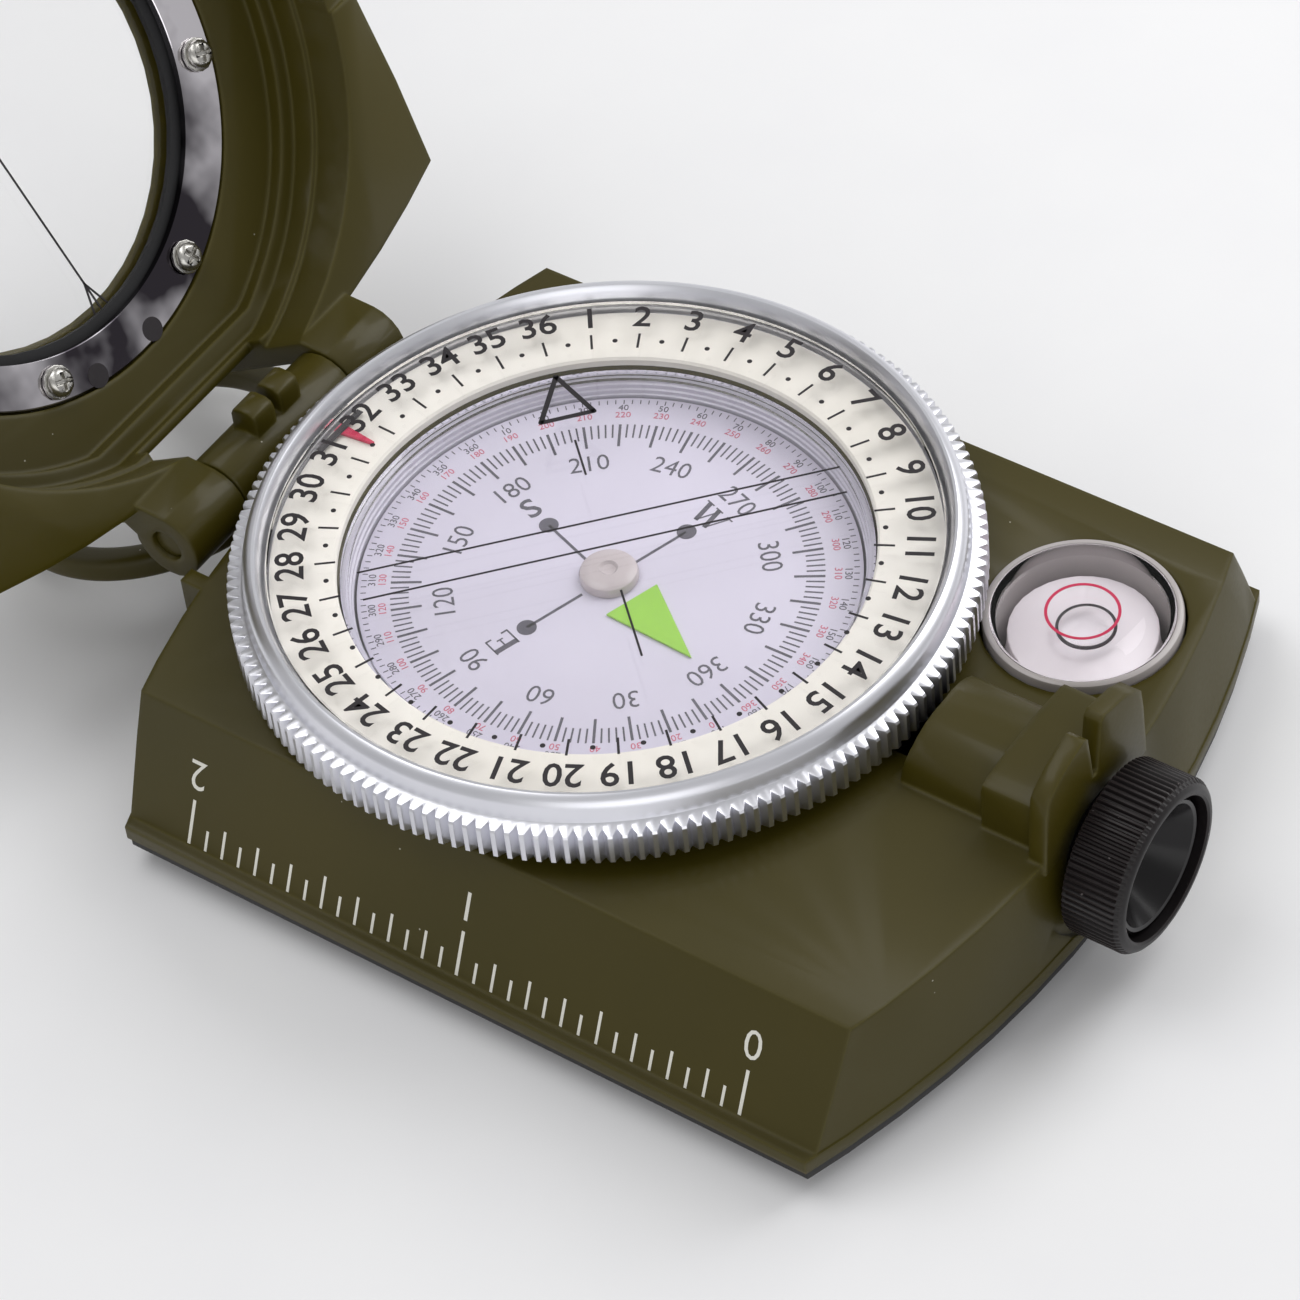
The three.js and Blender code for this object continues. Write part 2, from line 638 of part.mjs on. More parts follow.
function capsuleWindow() {
  const inner = capsuleRadius - capsuleWall - 0.1;
  return turned([
    [0, capsuleTop - windowStep], [inner - 0.7, capsuleTop - windowStep], [inner - 0.7, capsuleTop - 2.1],
    [inner, capsuleTop - 2.1], [inner, capsuleTop - 1.15], [capsuleRadius, capsuleTop - 1.15],
    [capsuleRadius, capsuleTop], [0, capsuleTop],
  ]);
}

mesh('capsule_cup', capsuleCup(), clearPlastic, compass);
mesh('capsule_window', capsuleWindow(), clearPlastic, compass);

const cardBottom = cardTop - cardThickness;

mesh('compass_card', ring(jewelBore + 0.7, cardRadius - 0.1, cardBottom, cardTop), cardWhite, compass);

const magnetBar = box(-magnetLength / 2, magnetLength / 2, -magnetWidth / 2, magnetWidth / 2,
  cardBottom - 0.1 - magnetThickness, cardBottom - 0.1);
mesh('card_magnet', cut(magnetBar, disc(jewelBore + 0.7, 0, 30, 16)).rotate([0, 0, magnetTurn]),
  steel, compass);

const jewel = turned([
  [jewelBore, cardBottom - 0.8], [jewelBore + 0.6, cardBottom - 0.8], [jewelBore + 0.6, cardTop + 0.08],
  [jewelRadius, cardTop + 0.08], [jewelRadius, cardTop + jewelHeight * 0.7],
  [jewelRadius - 0.35, cardTop + jewelHeight], [0, cardTop + jewelHeight], [0, cardTop + 0.45],
  [jewelBore, cardTop - 0.2],
].reverse(), NARROW);
mesh('pivot_jewel', jewel, clearPlastic, compass);

const cupFloorTop = capsuleBottom + cupFloor;
mesh('pivot_needle', turned([
  [0, cupFloorTop + 0.02], [1.6, cupFloorTop + 0.02], [1.6, cupFloorTop + 0.5],
  [pivotRadius, cupFloorTop + 0.6], [pivotRadius, cardTop - 0.9], [0, cardTop + 0.35],
], TINY), steel, compass);

// ---------------------------------------------------------------- level
const levelTop = topFace + levelProud;
const levelFloor = topFace - levelDepth + 0.1;
const levelBore = levelRadius - levelWall;

const levelGroup = new THREE.Group();
levelGroup.position.set(levelX, levelY, 0);
compass.add(levelGroup);
mesh('level_vial', turned([
  [levelBore, levelFloor], [levelRadius, levelFloor], [levelRadius, levelTop - 0.35],
  [levelRadius - 0.35, levelTop], [0, levelTop], [0, levelTop - 1.0], [levelBore - 0.8, levelTop - 1.25],
  [levelBore, levelTop - 1.8],
], MIDDLE), clearPlastic, levelGroup);
mesh('level_disc', disc(levelDiscRadius, levelFloor, topFace - levelDrop, MIDDLE), whitePlastic, levelGroup);

// ---------------------------------------------------------------- prism and eyepiece
const prismHalf = prismRoom.half - 0.4;
mesh('sight_prism', barY([
  [prismRoom.x0 + 0.4, eyeZ - 3.6], [prismRoom.x1 - 0.4, eyeZ - 3.6],
  [prismRoom.x1 - 0.4, topFace + 0.4], [prismRoom.x0 + 0.4, topFace + 1.6],
], -prismHalf, prismHalf), clearPlastic, compass);
mesh('prism_clip', join(
  box(prismRoom.x0 + 0.3, prismRoom.x1 - 0.3, -prismHalf, prismHalf, eyeZ - 4.4, eyeZ - 3.9),
  box(prismRoom.x0 + 0.3, prismRoom.x1 - 0.3, -prismHalf, -prismHalf + 0.5, coverTop + 0.1, eyeZ - 3.9),
  box(prismRoom.x0 + 0.3, prismRoom.x1 - 0.3, prismHalf - 0.5, prismHalf, coverTop + 0.1, eyeZ - 3.9),
), steel, compass);

const ringBack = eyeEndX + spotFace + eyeGap;
const ringFront = ringBack + eyeLength;
const tubeRadius = focusBore - RUNNING;

mesh('eyepiece_ring', turnedX([
  [tubeRadius + 0.25, ringBack], [eyeRadius - 0.5, ringBack], [eyeRadius, ringBack + 0.4],
  [eyeRadius, ringFront - 0.7], [eyeRadius - 0.75, ringFront], [eyeRadius - gripWall, ringFront],
  [eyeRadius - gripWall, ringBack + 0.9], [tubeRadius + 0.25, ringBack + 0.9],
], 0, eyeZ, MIDDLE), blackPlastic, compass);

mesh('lens_cell', turnedX([
  [lensRadius - 0.35, ringBack + 1.4], [lensRadius + 0.2, ringBack + 1.4], [lensRadius + 0.2, ringBack - 2.6],
  [tubeRadius, ringBack - 2.6], [tubeRadius, ringBack + 1.15], [cellRadius, ringBack + 1.15],
  [cellRadius, ringFront - 0.9], [cellRadius - 0.3, ringFront - 0.7], [cellRadius - 0.7, ringFront - 0.8],
], 0, eyeZ, MIDDLE), blackPlastic, compass);

const dome = (radius, x, bulge, side, steps = 3) => {
  const points = [];
  for (let i = 0; i <= steps; i += 1) {
    const share = i / steps;
    points.push([radius * share, x + side * bulge * (1 - share * share)]);
  }
  return points;
};
mesh('eyepiece_lens', turnedX([
  ...dome(lensRadius, ringBack + 0.9, 0.4, 1),
  ...dome(lensRadius, ringBack - 0.1, 0.5, -1).reverse(),
], 0, eyeZ), clearPlastic, compass);
mesh('lens_retainer', turnedX([
  [lensRadius - 0.7, ringBack - 1.3], [lensRadius, ringBack - 1.3],
  [lensRadius, ringBack - 0.25], [lensRadius - 0.7, ringBack - 0.6],
], 0, eyeZ), steel, compass);

// ---------------------------------------------------------------- lid, drawn closed about the hinge axis
const lid = new THREE.Group();
lid.position.set(hingeX, 0, hingeZ);
lid.rotation.y = -lidOpenAngle;
compass.add(lid);

const onLid = (solid) => solid.translate([lidCentre, 0, 0]);

function lidWings() {
  // Low shoulders that follow the base's hinge end outside the round drum.
  const low = skirtLift - 0.4;
  const crownX = hingeEndX - hingeX - 1.3;
  const halfWidth = topHalfWidth + 1.2;
  const reach = lidCentre - 10.85;
  const slab = box(crownX - 1, reach, -halfWidth, halfWidth, low, low + 3.2);
  const arc = disc(endRadius, low, low + 3.2, END_ARC).translate([crownX + endRadius, 0, 0]);
  const flare = plate([
    [crownX, -halfWidth + 6], [crownX + 4, -halfWidth], [reach - 8, -halfWidth - 1.5],
    [reach, -halfWidth - 2.6], [reach, halfWidth + 2.6], [reach - 8, halfWidth + 1.5],
    [crownX + 4, halfWidth], [crownX, halfWidth - 6],
  ], low, low + 3.2);
  return slab.add(flare).intersect(arc);
}

function lidArm(side) {
  const inner = side * (barrelHalf + FIT);
  const outer = inner + side * (knuckleLength - FIT);
  const [y0, y1] = [Math.min(inner, outer), Math.max(inner, outer)];
  const knuckle = rodY(knuckleRadius, 0, 0, y0, y1);
  const reach = barY([
    [0, 0], [0.13 * knuckleRadius, -0.98 * knuckleRadius], [0.8 * knuckleRadius, -0.6 * knuckleRadius],
    [4.4, skirtLift + 0.1], [7.5, 4.6], [7.5, plateTop - 0.6], [armBack, plateTop - 1.6],
    [armBack, knuckleRadius + 0.2], [0.45 * knuckleRadius, 0.87 * knuckleRadius],
  ], y0, y1);
  return knuckle.add(reach);
}

const screwTurns = Array.from({ length: retainerScrews }, (_, i) => ((i + 0.5) / retainerScrews) * 360);
const onScrew = (solid, turn) => onLid(solid.translate([screwCircle, 0, 0]).rotate([0, 0, turn]));
const skirtRoomTop = bezelShoulder - hingeZ + 0.5;
const middleRoomTop = plateUnder - 1.5;

function lidShell() {
  const drum = onLid(turned([
    [0, skirtLift], [drumRadius, skirtLift],
    [drumRadius, plateTop - 0.8], [drumRadius - 0.8, plateTop], [retainerOuter + 1.1, plateTop],
    [retainerOuter + 0.5, rimTop], [0, rimTop],
  ], LID));
  const solid = join(drum, lidWings(), lidArm(1), lidArm(-1));

  // Hollow that closes over the bezel. Towards the hinge its steps end in straight creases.
  const crease = (u) => box(u, 3 * drumRadius, -60, 60, -10, 60);
  const skirtRoom = onLid(disc(drumInner, -1, skirtRoomTop, LID)).intersect(crease(hingeEdge - 0.95));
  const middleRoom = onLid(disc(drumInner - 0.4, skirtRoomTop - 0.1, middleRoomTop, LID))
    .intersect(crease(hingeEdge + 0.8));
  const upperRoom = onLid(disc(drumInner - 1.7, middleRoomTop - 0.1, plateUnder, LID))
    .intersect(crease(hingeEdge + 2.5));
  const sightNotch = box(lidCentre + wellRadius, lidCentre + drumRadius + 5, -tunnelHalf - 1.4,
    tunnelHalf + 1.4, -1, tunnelHeight + 1.2);
  const levelNotch = disc(levelRadius + 0.9, -1, 3.0, NARROW).translate([levelX - hingeX, levelY, 0]);

  // Open between the arms, so that the lugs and the barrel pass.
  const armGap = barrelHalf + FIT;
  const edgeGap = box(-20, hingeEdge, -armGap, armGap, -20, 30);
  const sweepEnd = lugHeight + lugSweep;
  const sweepGap = box(hingeEdge - 1, sweepEnd, -armGap, armGap, -20, sweepEnd + 0.05);

  const seatHigh = plateUnder + retainerRecess + 0.15;
  const retainerRoom = onLid(disc(retainerOuter + FIT, plateUnder - 1, seatHigh, LID));
  const paneRoom = onLid(disc(windowPane + RUNNING, plateUnder, plateUnder + paneDepth));
  const opening = onLid(turned([
    [0, plateUnder], [windowRadius, plateUnder], [windowRadius, plateTop],
    [windowRadius + 1.1, rimTop + 0.01], [windowRadius + 1.1, rimTop + 1], [0, rimTop + 1],
  ]));
  const pinBore = rodY(hingePinRadius + pinClear, 0, 0, -20, 20, 16);
  const shank = disc(screwShankRadius + 0.15, plateUnder - 1, plateUnder + screwLength + 0.2, TINY);
  const holes = screwTurns.map((turn) => onScrew(shank, turn));
  return cut(solid, skirtRoom, middleRoom, upperRoom, sightNotch, levelNotch, edgeGap, sweepGap,
    retainerRoom, paneRoom, opening, pinBore, ...holes);
}

mesh('lid_shell', lidShell(), olivePaint, lid);

const retainerTop = plateUnder + retainerRecess;
const retainerLow = retainerTop - retainerThickness;
const paneTop = plateUnder + paneDepth - FIT;
const paneLow = paneTop - paneThickness;
mesh('window_pane', onLid(disc(windowPane, paneLow, paneTop)), clearPlastic, lid);
mesh('window_gasket', onLid(ring(windowRadius + 0.3, windowPane - 0.05, retainerTop + 0.1, paneLow - 0.1)),
  blackRubber, lid);

function windowRetainer() {
  const shank = disc(screwShankRadius + 0.15, 0, 30, TINY);
  const holes = screwTurns.map((turn) => onScrew(shank, turn));
  const notch = disc(notchRadius, 0, 30, 16).translate([retainerOuter + 0.2, 0, 0]);
  const notches = notchTurns.map((turn) => onLid(notch.rotate([0, 0, turn])));
  const band = onLid(ring(retainerInner, retainerOuter, retainerLow, retainerTop, LID));
  return cut(band, ...holes, ...notches);
}

mesh('window_retainer', windowRetainer(), mirrorSteel, lid);

const washerHigh = retainerLow - 0.08;
const washerLow = washerHigh - washerThickness;
const washerOuter = screwHeadRadius + washerProud;
const washer = cut(ring(screwShankRadius + 0.1, washerOuter, washerLow, washerHigh, 12),
  box(0, washerOuter + 1, -0.12, 0.12, 0, 30));
const retainerScrew = panScrew(screwHeadRadius, screwHeadHeight, screwShankRadius, screwLength, 12)
  .rotate([180, 0, 0])
  .translate([0, 0, washerLow - 0.06 + screwLength]);
screwTurns.forEach((turn, i) => {
  mesh(`spring_washer_${i + 1}`, onScrew(washer, turn), steel, lid);
  mesh(`retainer_screw_${i + 1}`, onScrew(retainerScrew, turn), steel, lid);
});

export default compass;
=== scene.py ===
# %% [markdown]
# A sighting compass, dressed for its portrait. The shapes that carry load or move come from the
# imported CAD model. This script keeps those that are right, replaces those that need finer work
# (the knurled bezel, the print, the clear parts) and gives every surface its own finish.
# Everything is in metres and in the frame of the CAD model. Sizes are written in millimetres
# and multiplied by MM once, when a mesh is made.

# %% Load the frame
import json
import math

import bmesh
import bpy
from mathutils import Matrix, Vector

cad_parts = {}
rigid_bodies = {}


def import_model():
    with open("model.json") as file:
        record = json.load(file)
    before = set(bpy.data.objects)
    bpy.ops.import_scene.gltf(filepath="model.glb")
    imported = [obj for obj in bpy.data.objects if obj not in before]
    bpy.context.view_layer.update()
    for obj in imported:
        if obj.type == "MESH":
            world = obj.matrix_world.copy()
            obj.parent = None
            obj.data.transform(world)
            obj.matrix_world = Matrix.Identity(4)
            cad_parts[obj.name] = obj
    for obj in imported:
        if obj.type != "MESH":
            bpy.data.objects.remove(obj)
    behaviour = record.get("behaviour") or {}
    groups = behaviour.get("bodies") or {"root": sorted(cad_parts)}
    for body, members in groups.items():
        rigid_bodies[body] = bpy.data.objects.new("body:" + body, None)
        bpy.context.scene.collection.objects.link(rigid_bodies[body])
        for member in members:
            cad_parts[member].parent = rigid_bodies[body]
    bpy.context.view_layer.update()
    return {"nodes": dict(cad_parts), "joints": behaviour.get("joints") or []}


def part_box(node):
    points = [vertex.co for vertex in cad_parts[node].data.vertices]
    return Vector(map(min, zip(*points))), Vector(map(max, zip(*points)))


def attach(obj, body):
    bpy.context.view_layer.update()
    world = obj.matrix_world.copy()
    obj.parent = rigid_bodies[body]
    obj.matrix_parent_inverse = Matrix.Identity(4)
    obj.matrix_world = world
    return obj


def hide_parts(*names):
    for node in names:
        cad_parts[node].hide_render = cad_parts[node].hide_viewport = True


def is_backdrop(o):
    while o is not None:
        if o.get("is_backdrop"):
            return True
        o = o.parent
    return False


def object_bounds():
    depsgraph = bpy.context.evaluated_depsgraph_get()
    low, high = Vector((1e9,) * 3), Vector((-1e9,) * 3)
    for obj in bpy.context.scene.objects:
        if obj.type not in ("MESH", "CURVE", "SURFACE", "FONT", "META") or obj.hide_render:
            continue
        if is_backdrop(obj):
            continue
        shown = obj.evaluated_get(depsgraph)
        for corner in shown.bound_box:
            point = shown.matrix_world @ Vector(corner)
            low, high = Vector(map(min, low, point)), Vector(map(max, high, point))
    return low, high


for leftover in list(bpy.data.objects):
    bpy.data.objects.remove(leftover, do_unlink=True)
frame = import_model()
nodes = frame["nodes"]
MM = 0.001

# %% [markdown]
# The heights that the pieces share are read from the frame rather than typed again: the top of
# the glass, the face of the card, the hinge axis. If the CAD model changes, the looks follow.

# %% Shared heights and axes
GLASS_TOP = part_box("bezel_glass")[1].z / MM
GLASS_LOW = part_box("bezel_glass")[0].z / MM
GLASS_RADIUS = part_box("bezel_glass")[1].x / MM
CARD_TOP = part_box("compass_card")[1].z / MM
CARD_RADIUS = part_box("compass_card")[1].x / MM
GLOW_LOW, GLOW_TOP = (corner.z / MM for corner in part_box("luminous_ring"))
TOP_FACE = GLASS_TOP - 5.65
JOINTS = {joint["name"]: joint for joint in frame["joints"]}


def axis_point(name):
    return Vector(JOINTS[name]["pos_m"]) / MM


HINGE = axis_point("lid_hinge")
LID_OPEN = math.radians(JOINTS["lid_hinge"]["range_deg"][1])
EYE_Z = axis_point("eyepiece_turn").z
FROM_CLOSED = Matrix.Translation(HINGE) @ Matrix.Rotation(-LID_OPEN, 4, "Y")
LID_CENTRE = -HINGE.x
print("glass top", round(GLASS_TOP, 2), "card", round(CARD_TOP, 2),
      "hinge", tuple(round(v, 2) for v in HINGE))

# %% [markdown]
# The camera is a long lens held above the ruler side, near the eyepiece. It leans a few degrees,
# as a hand-held camera does. Depth of field stays off, so that every mark is sharp.

# %% Camera
CAMERA_PLACE = Vector((174.36, -207.98, 298.80))
CAMERA_AZIMUTH = math.radians(39.465)
CAMERA_ELEVATION = math.radians(47.119)
CAMERA_LEAN = math.radians(-6.869)
LENS = 141.75


def camera_turn(azimuth, elevation, lean):
    back = Vector((
        math.sin(azimuth) * math.cos(elevation),
        -math.cos(azimuth) * math.cos(elevation),
        math.sin(elevation),
    ))
    right = Vector((math.cos(azimuth), math.sin(azimuth), 0))
    up = back.cross(right)
    leaned_right = right * math.cos(lean) + up * math.sin(lean)
    leaned_up = up * math.cos(lean) - right * math.sin(lean)
    return Matrix((leaned_right, leaned_up, back)).transposed()


camera = bpy.data.objects.new("camera", bpy.data.cameras.new("camera"))
bpy.context.scene.collection.objects.link(camera)
camera.matrix_world = (
    Matrix.Translation(CAMERA_PLACE * MM)
    @ camera_turn(CAMERA_AZIMUTH, CAMERA_ELEVATION, CAMERA_LEAN).to_4x4()
)
camera.data.lens = LENS
camera.data.sensor_width = 36
camera.data.clip_start, camera.data.clip_end = 0.01, 20
bpy.context.scene.camera = camera
print("camera at", [round(v, 3) for v in camera.location])

# %% [markdown]
# A pale floor and three soft lights make the plain studio. A large panel behind and to the right
# draws the highlights along the bezel and the rounded edges, a weaker one fills the ruler side,
# and a pale world lifts the rest.

# %% Studio
VIEW_TRANSFORM = "Standard"
bpy.context.scene.view_settings.view_transform = VIEW_TRANSFORM


def soft_light(name, place, aim, size, power, tint=(1, 1, 1)):
    lamp = bpy.data.lights.new(name, "AREA")
    lamp.shape = "SQUARE"
    lamp.size = size * MM
    lamp.energy = power
    lamp.color = tint
    holder = bpy.data.objects.new(name, lamp)
    bpy.context.scene.collection.objects.link(holder)
    direction = Vector(aim) - Vector(place)
    holder.location = Vector(place) * MM
    holder.rotation_euler = direction.to_track_quat("-Z", "Y").to_euler()
    return holder


soft_light("panel_back", (120, 330, 330), (0, 0, 10), 320, 1.0)
soft_light("panel_over", (-160, -60, 430), (0, 0, 10), 260, 0.5)
soft_light("panel_front", (260, -330, 160), (10, 0, 10), 300, 0.3)
world = bpy.data.worlds.new("studio")
bpy.context.scene.world = world
world.use_nodes = True
world.node_tree.nodes["Background"].inputs["Color"].default_value = (1, 1, 1, 1)
world.node_tree.nodes["Background"].inputs["Strength"].default_value = 0.5

# %% [markdown]
# Material helpers. `Nodes` keeps the wiring of a node tree short: it adds a node, sets its
# values, and links sockets by name.

# %% Node helpers


class Nodes:
    """Adds nodes to a tree and links them by name."""

    def __init__(self, tree):
        self.tree = tree

    def add(self, kind, settings=None, **values):
        node = self.tree.nodes.new("ShaderNode" + kind)
        for key, value in (settings or {}).items():
            setattr(node, key, value)
        for key, value in values.items():
            self.set(node, key.replace("_", " "), value)
        return node

    def set(self, node, socket, value):
        numbered = socket[0] == "i" and socket[1:].isdigit()
        target = node.inputs[int(socket[1:]) if numbered else socket]
        if isinstance(value, bpy.types.NodeSocket):
            self.tree.links.new(value, target)
        else:
            target.default_value = value


def math_node(nodes_of, operation, first, second=0.0, clamp=False):
    return nodes_of.add("Math", {"operation": operation, "use_clamp": clamp}, i0=first, i1=second).outputs[0]


def new_group(name, inputs, outputs):
    group = bpy.data.node_groups.new(name, "ShaderNodeTree")
    for label, kind, value in inputs:
        socket = group.interface.new_socket(label, in_out="INPUT", socket_type="NodeSocket" + kind)
        socket.default_value = value
    for label, kind in outputs:
        group.interface.new_socket(label, in_out="OUTPUT", socket_type="NodeSocket" + kind)
    made = Nodes(group)
    entry = group.nodes.new("NodeGroupInput")
    leave = group.nodes.new("NodeGroupOutput")
    return group, made, entry, leave


# %% [markdown]
# Paint and plastic are never perfectly even. `fine_grain` is the small orange-peel of sprayed
# paint or the spark texture of a mould: a noise turned into a bump of a given depth.

# %% Group: fine grain
fine_grain, g, entry, leave = new_group(
    "fine_grain",
    [("Grain per metre", "Float", 3000.0), ("Depth", "Float", 0.00002), ("Strength", "Float", 0.3)],
    [("Normal", "Vector"), ("Mask", "Float")],
)
place = g.add("TexCoord")
noise = g.add("TexNoise", Vector=place.outputs["Object"], Scale=entry.outputs["Grain per metre"], Detail=3.0)
bump = g.add("Bump", Strength=entry.outputs["Strength"], Distance=entry.outputs["Depth"],
             Height=noise.outputs["Fac"])
g.tree.links.new(bump.outputs["Normal"], leave.inputs["Normal"])
g.tree.links.new(noise.outputs["Fac"], leave.inputs["Mask"])

# %% [markdown]
# `tone_drift` is a slow change of tone over a surface: handling, film thickness, age. It gives
# a mask between 0 and 1 that a material uses to mix two near colours or to move the roughness.

# %% Group: tone drift
tone_drift, g, entry, leave = new_group(
    "tone_drift",
    [("Patches per metre", "Float", 60.0), ("Contrast", "Float", 1.0)],
    [("Mask", "Float")],
)
place = g.add("TexCoord")
noise = g.add("TexNoise", Vector=place.outputs["Object"], Scale=entry.outputs["Patches per metre"],
              Detail=4.0)
centred = math_node(g, "SUBTRACT", noise.outputs["Fac"], 0.5)
spread = math_node(g, "MULTIPLY", centred, entry.outputs["Contrast"])
shifted = math_node(g, "ADD", spread, 0.5, clamp=True)
g.tree.links.new(shifted, leave.inputs["Mask"])

# %% [markdown]
# This group finds edges. A Bevel node looks a short way
# round each point; where its softened normal differs from the true one there is an edge.

# %% Group: edge finder
edge_finder, g, entry, leave = new_group(
    "edge_finder",
    [("Reach", "Float", 0.0004), ("Gain", "Float", 6.0)],
    [("Mask", "Float")],
)
softened = g.add("Bevel", {"samples": 4}, Radius=entry.outputs["Reach"])
true_normal = g.add("NewGeometry")
alike = g.add("VectorMath", {"operation": "DOT_PRODUCT"},
              i0=softened.outputs[0], i1=true_normal.outputs["Normal"])
apart = math_node(g, "SUBTRACT", 1.0, alike.outputs["Value"])
g.tree.links.new(math_node(g, "MULTIPLY", apart, entry.outputs["Gain"], clamp=True), leave.inputs["Mask"])

# %% [markdown]
# `turned_lines` are the fine circles a lathe tool leaves. Distance from the axis goes through a
# noise, so every circle has its own height and brightness.

# %% Group: turned lines
turned_lines, g, entry, leave = new_group(
    "turned_lines",
    [("Lines per metre", "Float", 9000.0), ("Depth", "Float", 0.000004), ("Strength", "Float", 0.4)],
    [("Normal", "Vector"), ("Mask", "Float")],
)
place = g.add("TexCoord")
parts = g.add("SeparateXYZ", Vector=place.outputs["Object"])
square_x = math_node(g, "MULTIPLY", parts.outputs["X"], parts.outputs["X"])
square_y = math_node(g, "MULTIPLY", parts.outputs["Y"], parts.outputs["Y"])
radius = math_node(g, "SQRT", math_node(g, "ADD", square_x, square_y))
across = g.add("CombineXYZ", X=radius, Y=math_node(g, "MULTIPLY", parts.outputs["Z"], 0.7))
noise = g.add("TexNoise", Vector=across.outputs[0], Scale=entry.outputs["Lines per metre"], Detail=2.0)
bump = g.add("Bump", Strength=entry.outputs["Strength"], Distance=entry.outputs["Depth"],
             Height=noise.outputs["Fac"])
g.tree.links.new(bump.outputs["Normal"], leave.inputs["Normal"])
g.tree.links.new(noise.outputs["Fac"], leave.inputs["Mask"])

# %% [markdown]
# `dust_specks` scatters the few pale specks that settle in corners and on glass.

# %% Group: dust specks
dust_specks, g, entry, leave = new_group(
    "dust_specks",
    [("Specks per metre", "Float", 900.0), ("Size", "Float", 0.07), ("Amount", "Float", 0.25)],
    [("Mask", "Float")],
)
place = g.add("TexCoord")
cells = g.add("TexVoronoi", Vector=place.outputs["Object"], Scale=entry.outputs["Specks per metre"])
near = math_node(g, "LESS_THAN", cells.outputs["Distance"], entry.outputs["Size"])
chosen = g.add("SeparateColor", Color=cells.outputs["Color"])
rare = math_node(g, "LESS_THAN", chosen.outputs["Red"], entry.outputs["Amount"])
g.tree.links.new(math_node(g, "MULTIPLY", near, rare), leave.inputs["Mask"])
print("groups", [group.name for group in bpy.data.node_groups])

# %% [markdown]
# `surface` starts a material from a base colour and its partner, mixed by tone drift, and adds
# grain. The special finishes below build on what it returns.

# %% Surface builder


def srgb(red, green, blue):
    """A colour as a screen shows it, 0 to 255, turned into the linear values that shaders use."""
    def linear(level):
        level /= 255
        return level / 12.92 if level <= 0.04045 else ((level + 0.055) / 1.055) ** 2.4
    return (linear(red), linear(green), linear(blue), 1.0)


def group_node(made, group, **values):
    node = made.tree.nodes.new("ShaderNodeGroup")
    node.node_tree = group
    for key, value in values.items():
        made.set(node, key.replace("_", " "), value)
    return node


def mix_colour(made, factor, first, second):
    node = made.add("Mix", {"data_type": "RGBA"})
    for socket, value in (("Factor", factor), ("A", first), ("B", second)):
        target = next(s for s in node.inputs if s.name == socket and s.enabled)
        if isinstance(value, bpy.types.NodeSocket):
            made.tree.links.new(value, target)
        else:
            target.default_value = value
    return next(s for s in node.outputs if s.enabled)


def surface(name, main, partner, roughness, rougher=0.08, metallic=0.0, grain=3000.0, depth=0.00001,
            strength=0.25, patches=60.0, contrast=1.6):
    made_of = bpy.data.materials.new(name)
    made_of.use_nodes = True
    made = Nodes(made_of.node_tree)
    shader = made_of.node_tree.nodes["Principled BSDF"]
    drift = group_node(made, tone_drift, Patches_per_metre=patches, Contrast=contrast)
    texture = group_node(made, fine_grain, Grain_per_metre=grain, Depth=depth, Strength=strength)
    colour = mix_colour(made, drift.outputs["Mask"], main, partner)
    made.set(shader, "Base Color", colour)
    sway = math_node(made, "MULTIPLY", texture.outputs["Mask"], rougher)
    made.set(shader, "Roughness", math_node(made, "ADD", sway, roughness))
    made.set(shader, "Normal", texture.outputs["Normal"])
    shader.inputs["Metallic"].default_value = metallic
    return made_of, made, shader, colour


# %% [markdown]
# The castings wear a baked olive paint with a silky gloss. The edge mask mixes in a lighter,
# yellower olive along every edge, a painted highlight, and a thin clear coat carries the gloss. A
# Bevel node rounds the shading of every die-cast edge before the grain is laid over it.

# %% Olive paint
# The darker of the two olives, mixed in random patches, is the olive as it looks in shade: painted shade.
OLIVE, OLIVE_SHADED, OLIVE_HIGHLIGHT = srgb(66, 58, 8), srgb(58, 52, 5), srgb(96, 88, 26)
olive_paint, made, shader, colour = surface(
    "olive_paint", OLIVE, OLIVE_SHADED, roughness=0.4, rougher=0.12, grain=2600, depth=0.000012, strength=0.22)
edge_mask = group_node(made, edge_finder, Reach=0.0005, Gain=1.2)
# Lighter, yellower olive along every edge: a painted highlight.
colour = mix_colour(made, edge_mask.outputs["Mask"], colour, OLIVE_HIGHLIGHT)
rounded = made.add("Bevel", {"samples": 8}, Radius=0.0006)
peel = group_node(made, fine_grain, Grain_per_metre=2600.0)
grained = made.add("Bump", Strength=0.22, Distance=0.000012,
                   Height=peel.outputs["Mask"], Normal=rounded.outputs[0])
made.set(shader, "Normal", grained.outputs["Normal"])
specks = group_node(made, dust_specks, Specks_per_metre=700.0, Size=0.05, Amount=0.05)
made.set(shader, "Base Color", mix_colour(made, specks.outputs["Mask"], colour, srgb(170, 166, 150)))
shader.inputs["Specular IOR Level"].default_value = 0.25
shader.inputs["Coat Weight"].default_value = 0.14
shader.inputs["Coat Roughness"].default_value = 0.14
print("made", olive_paint.name)
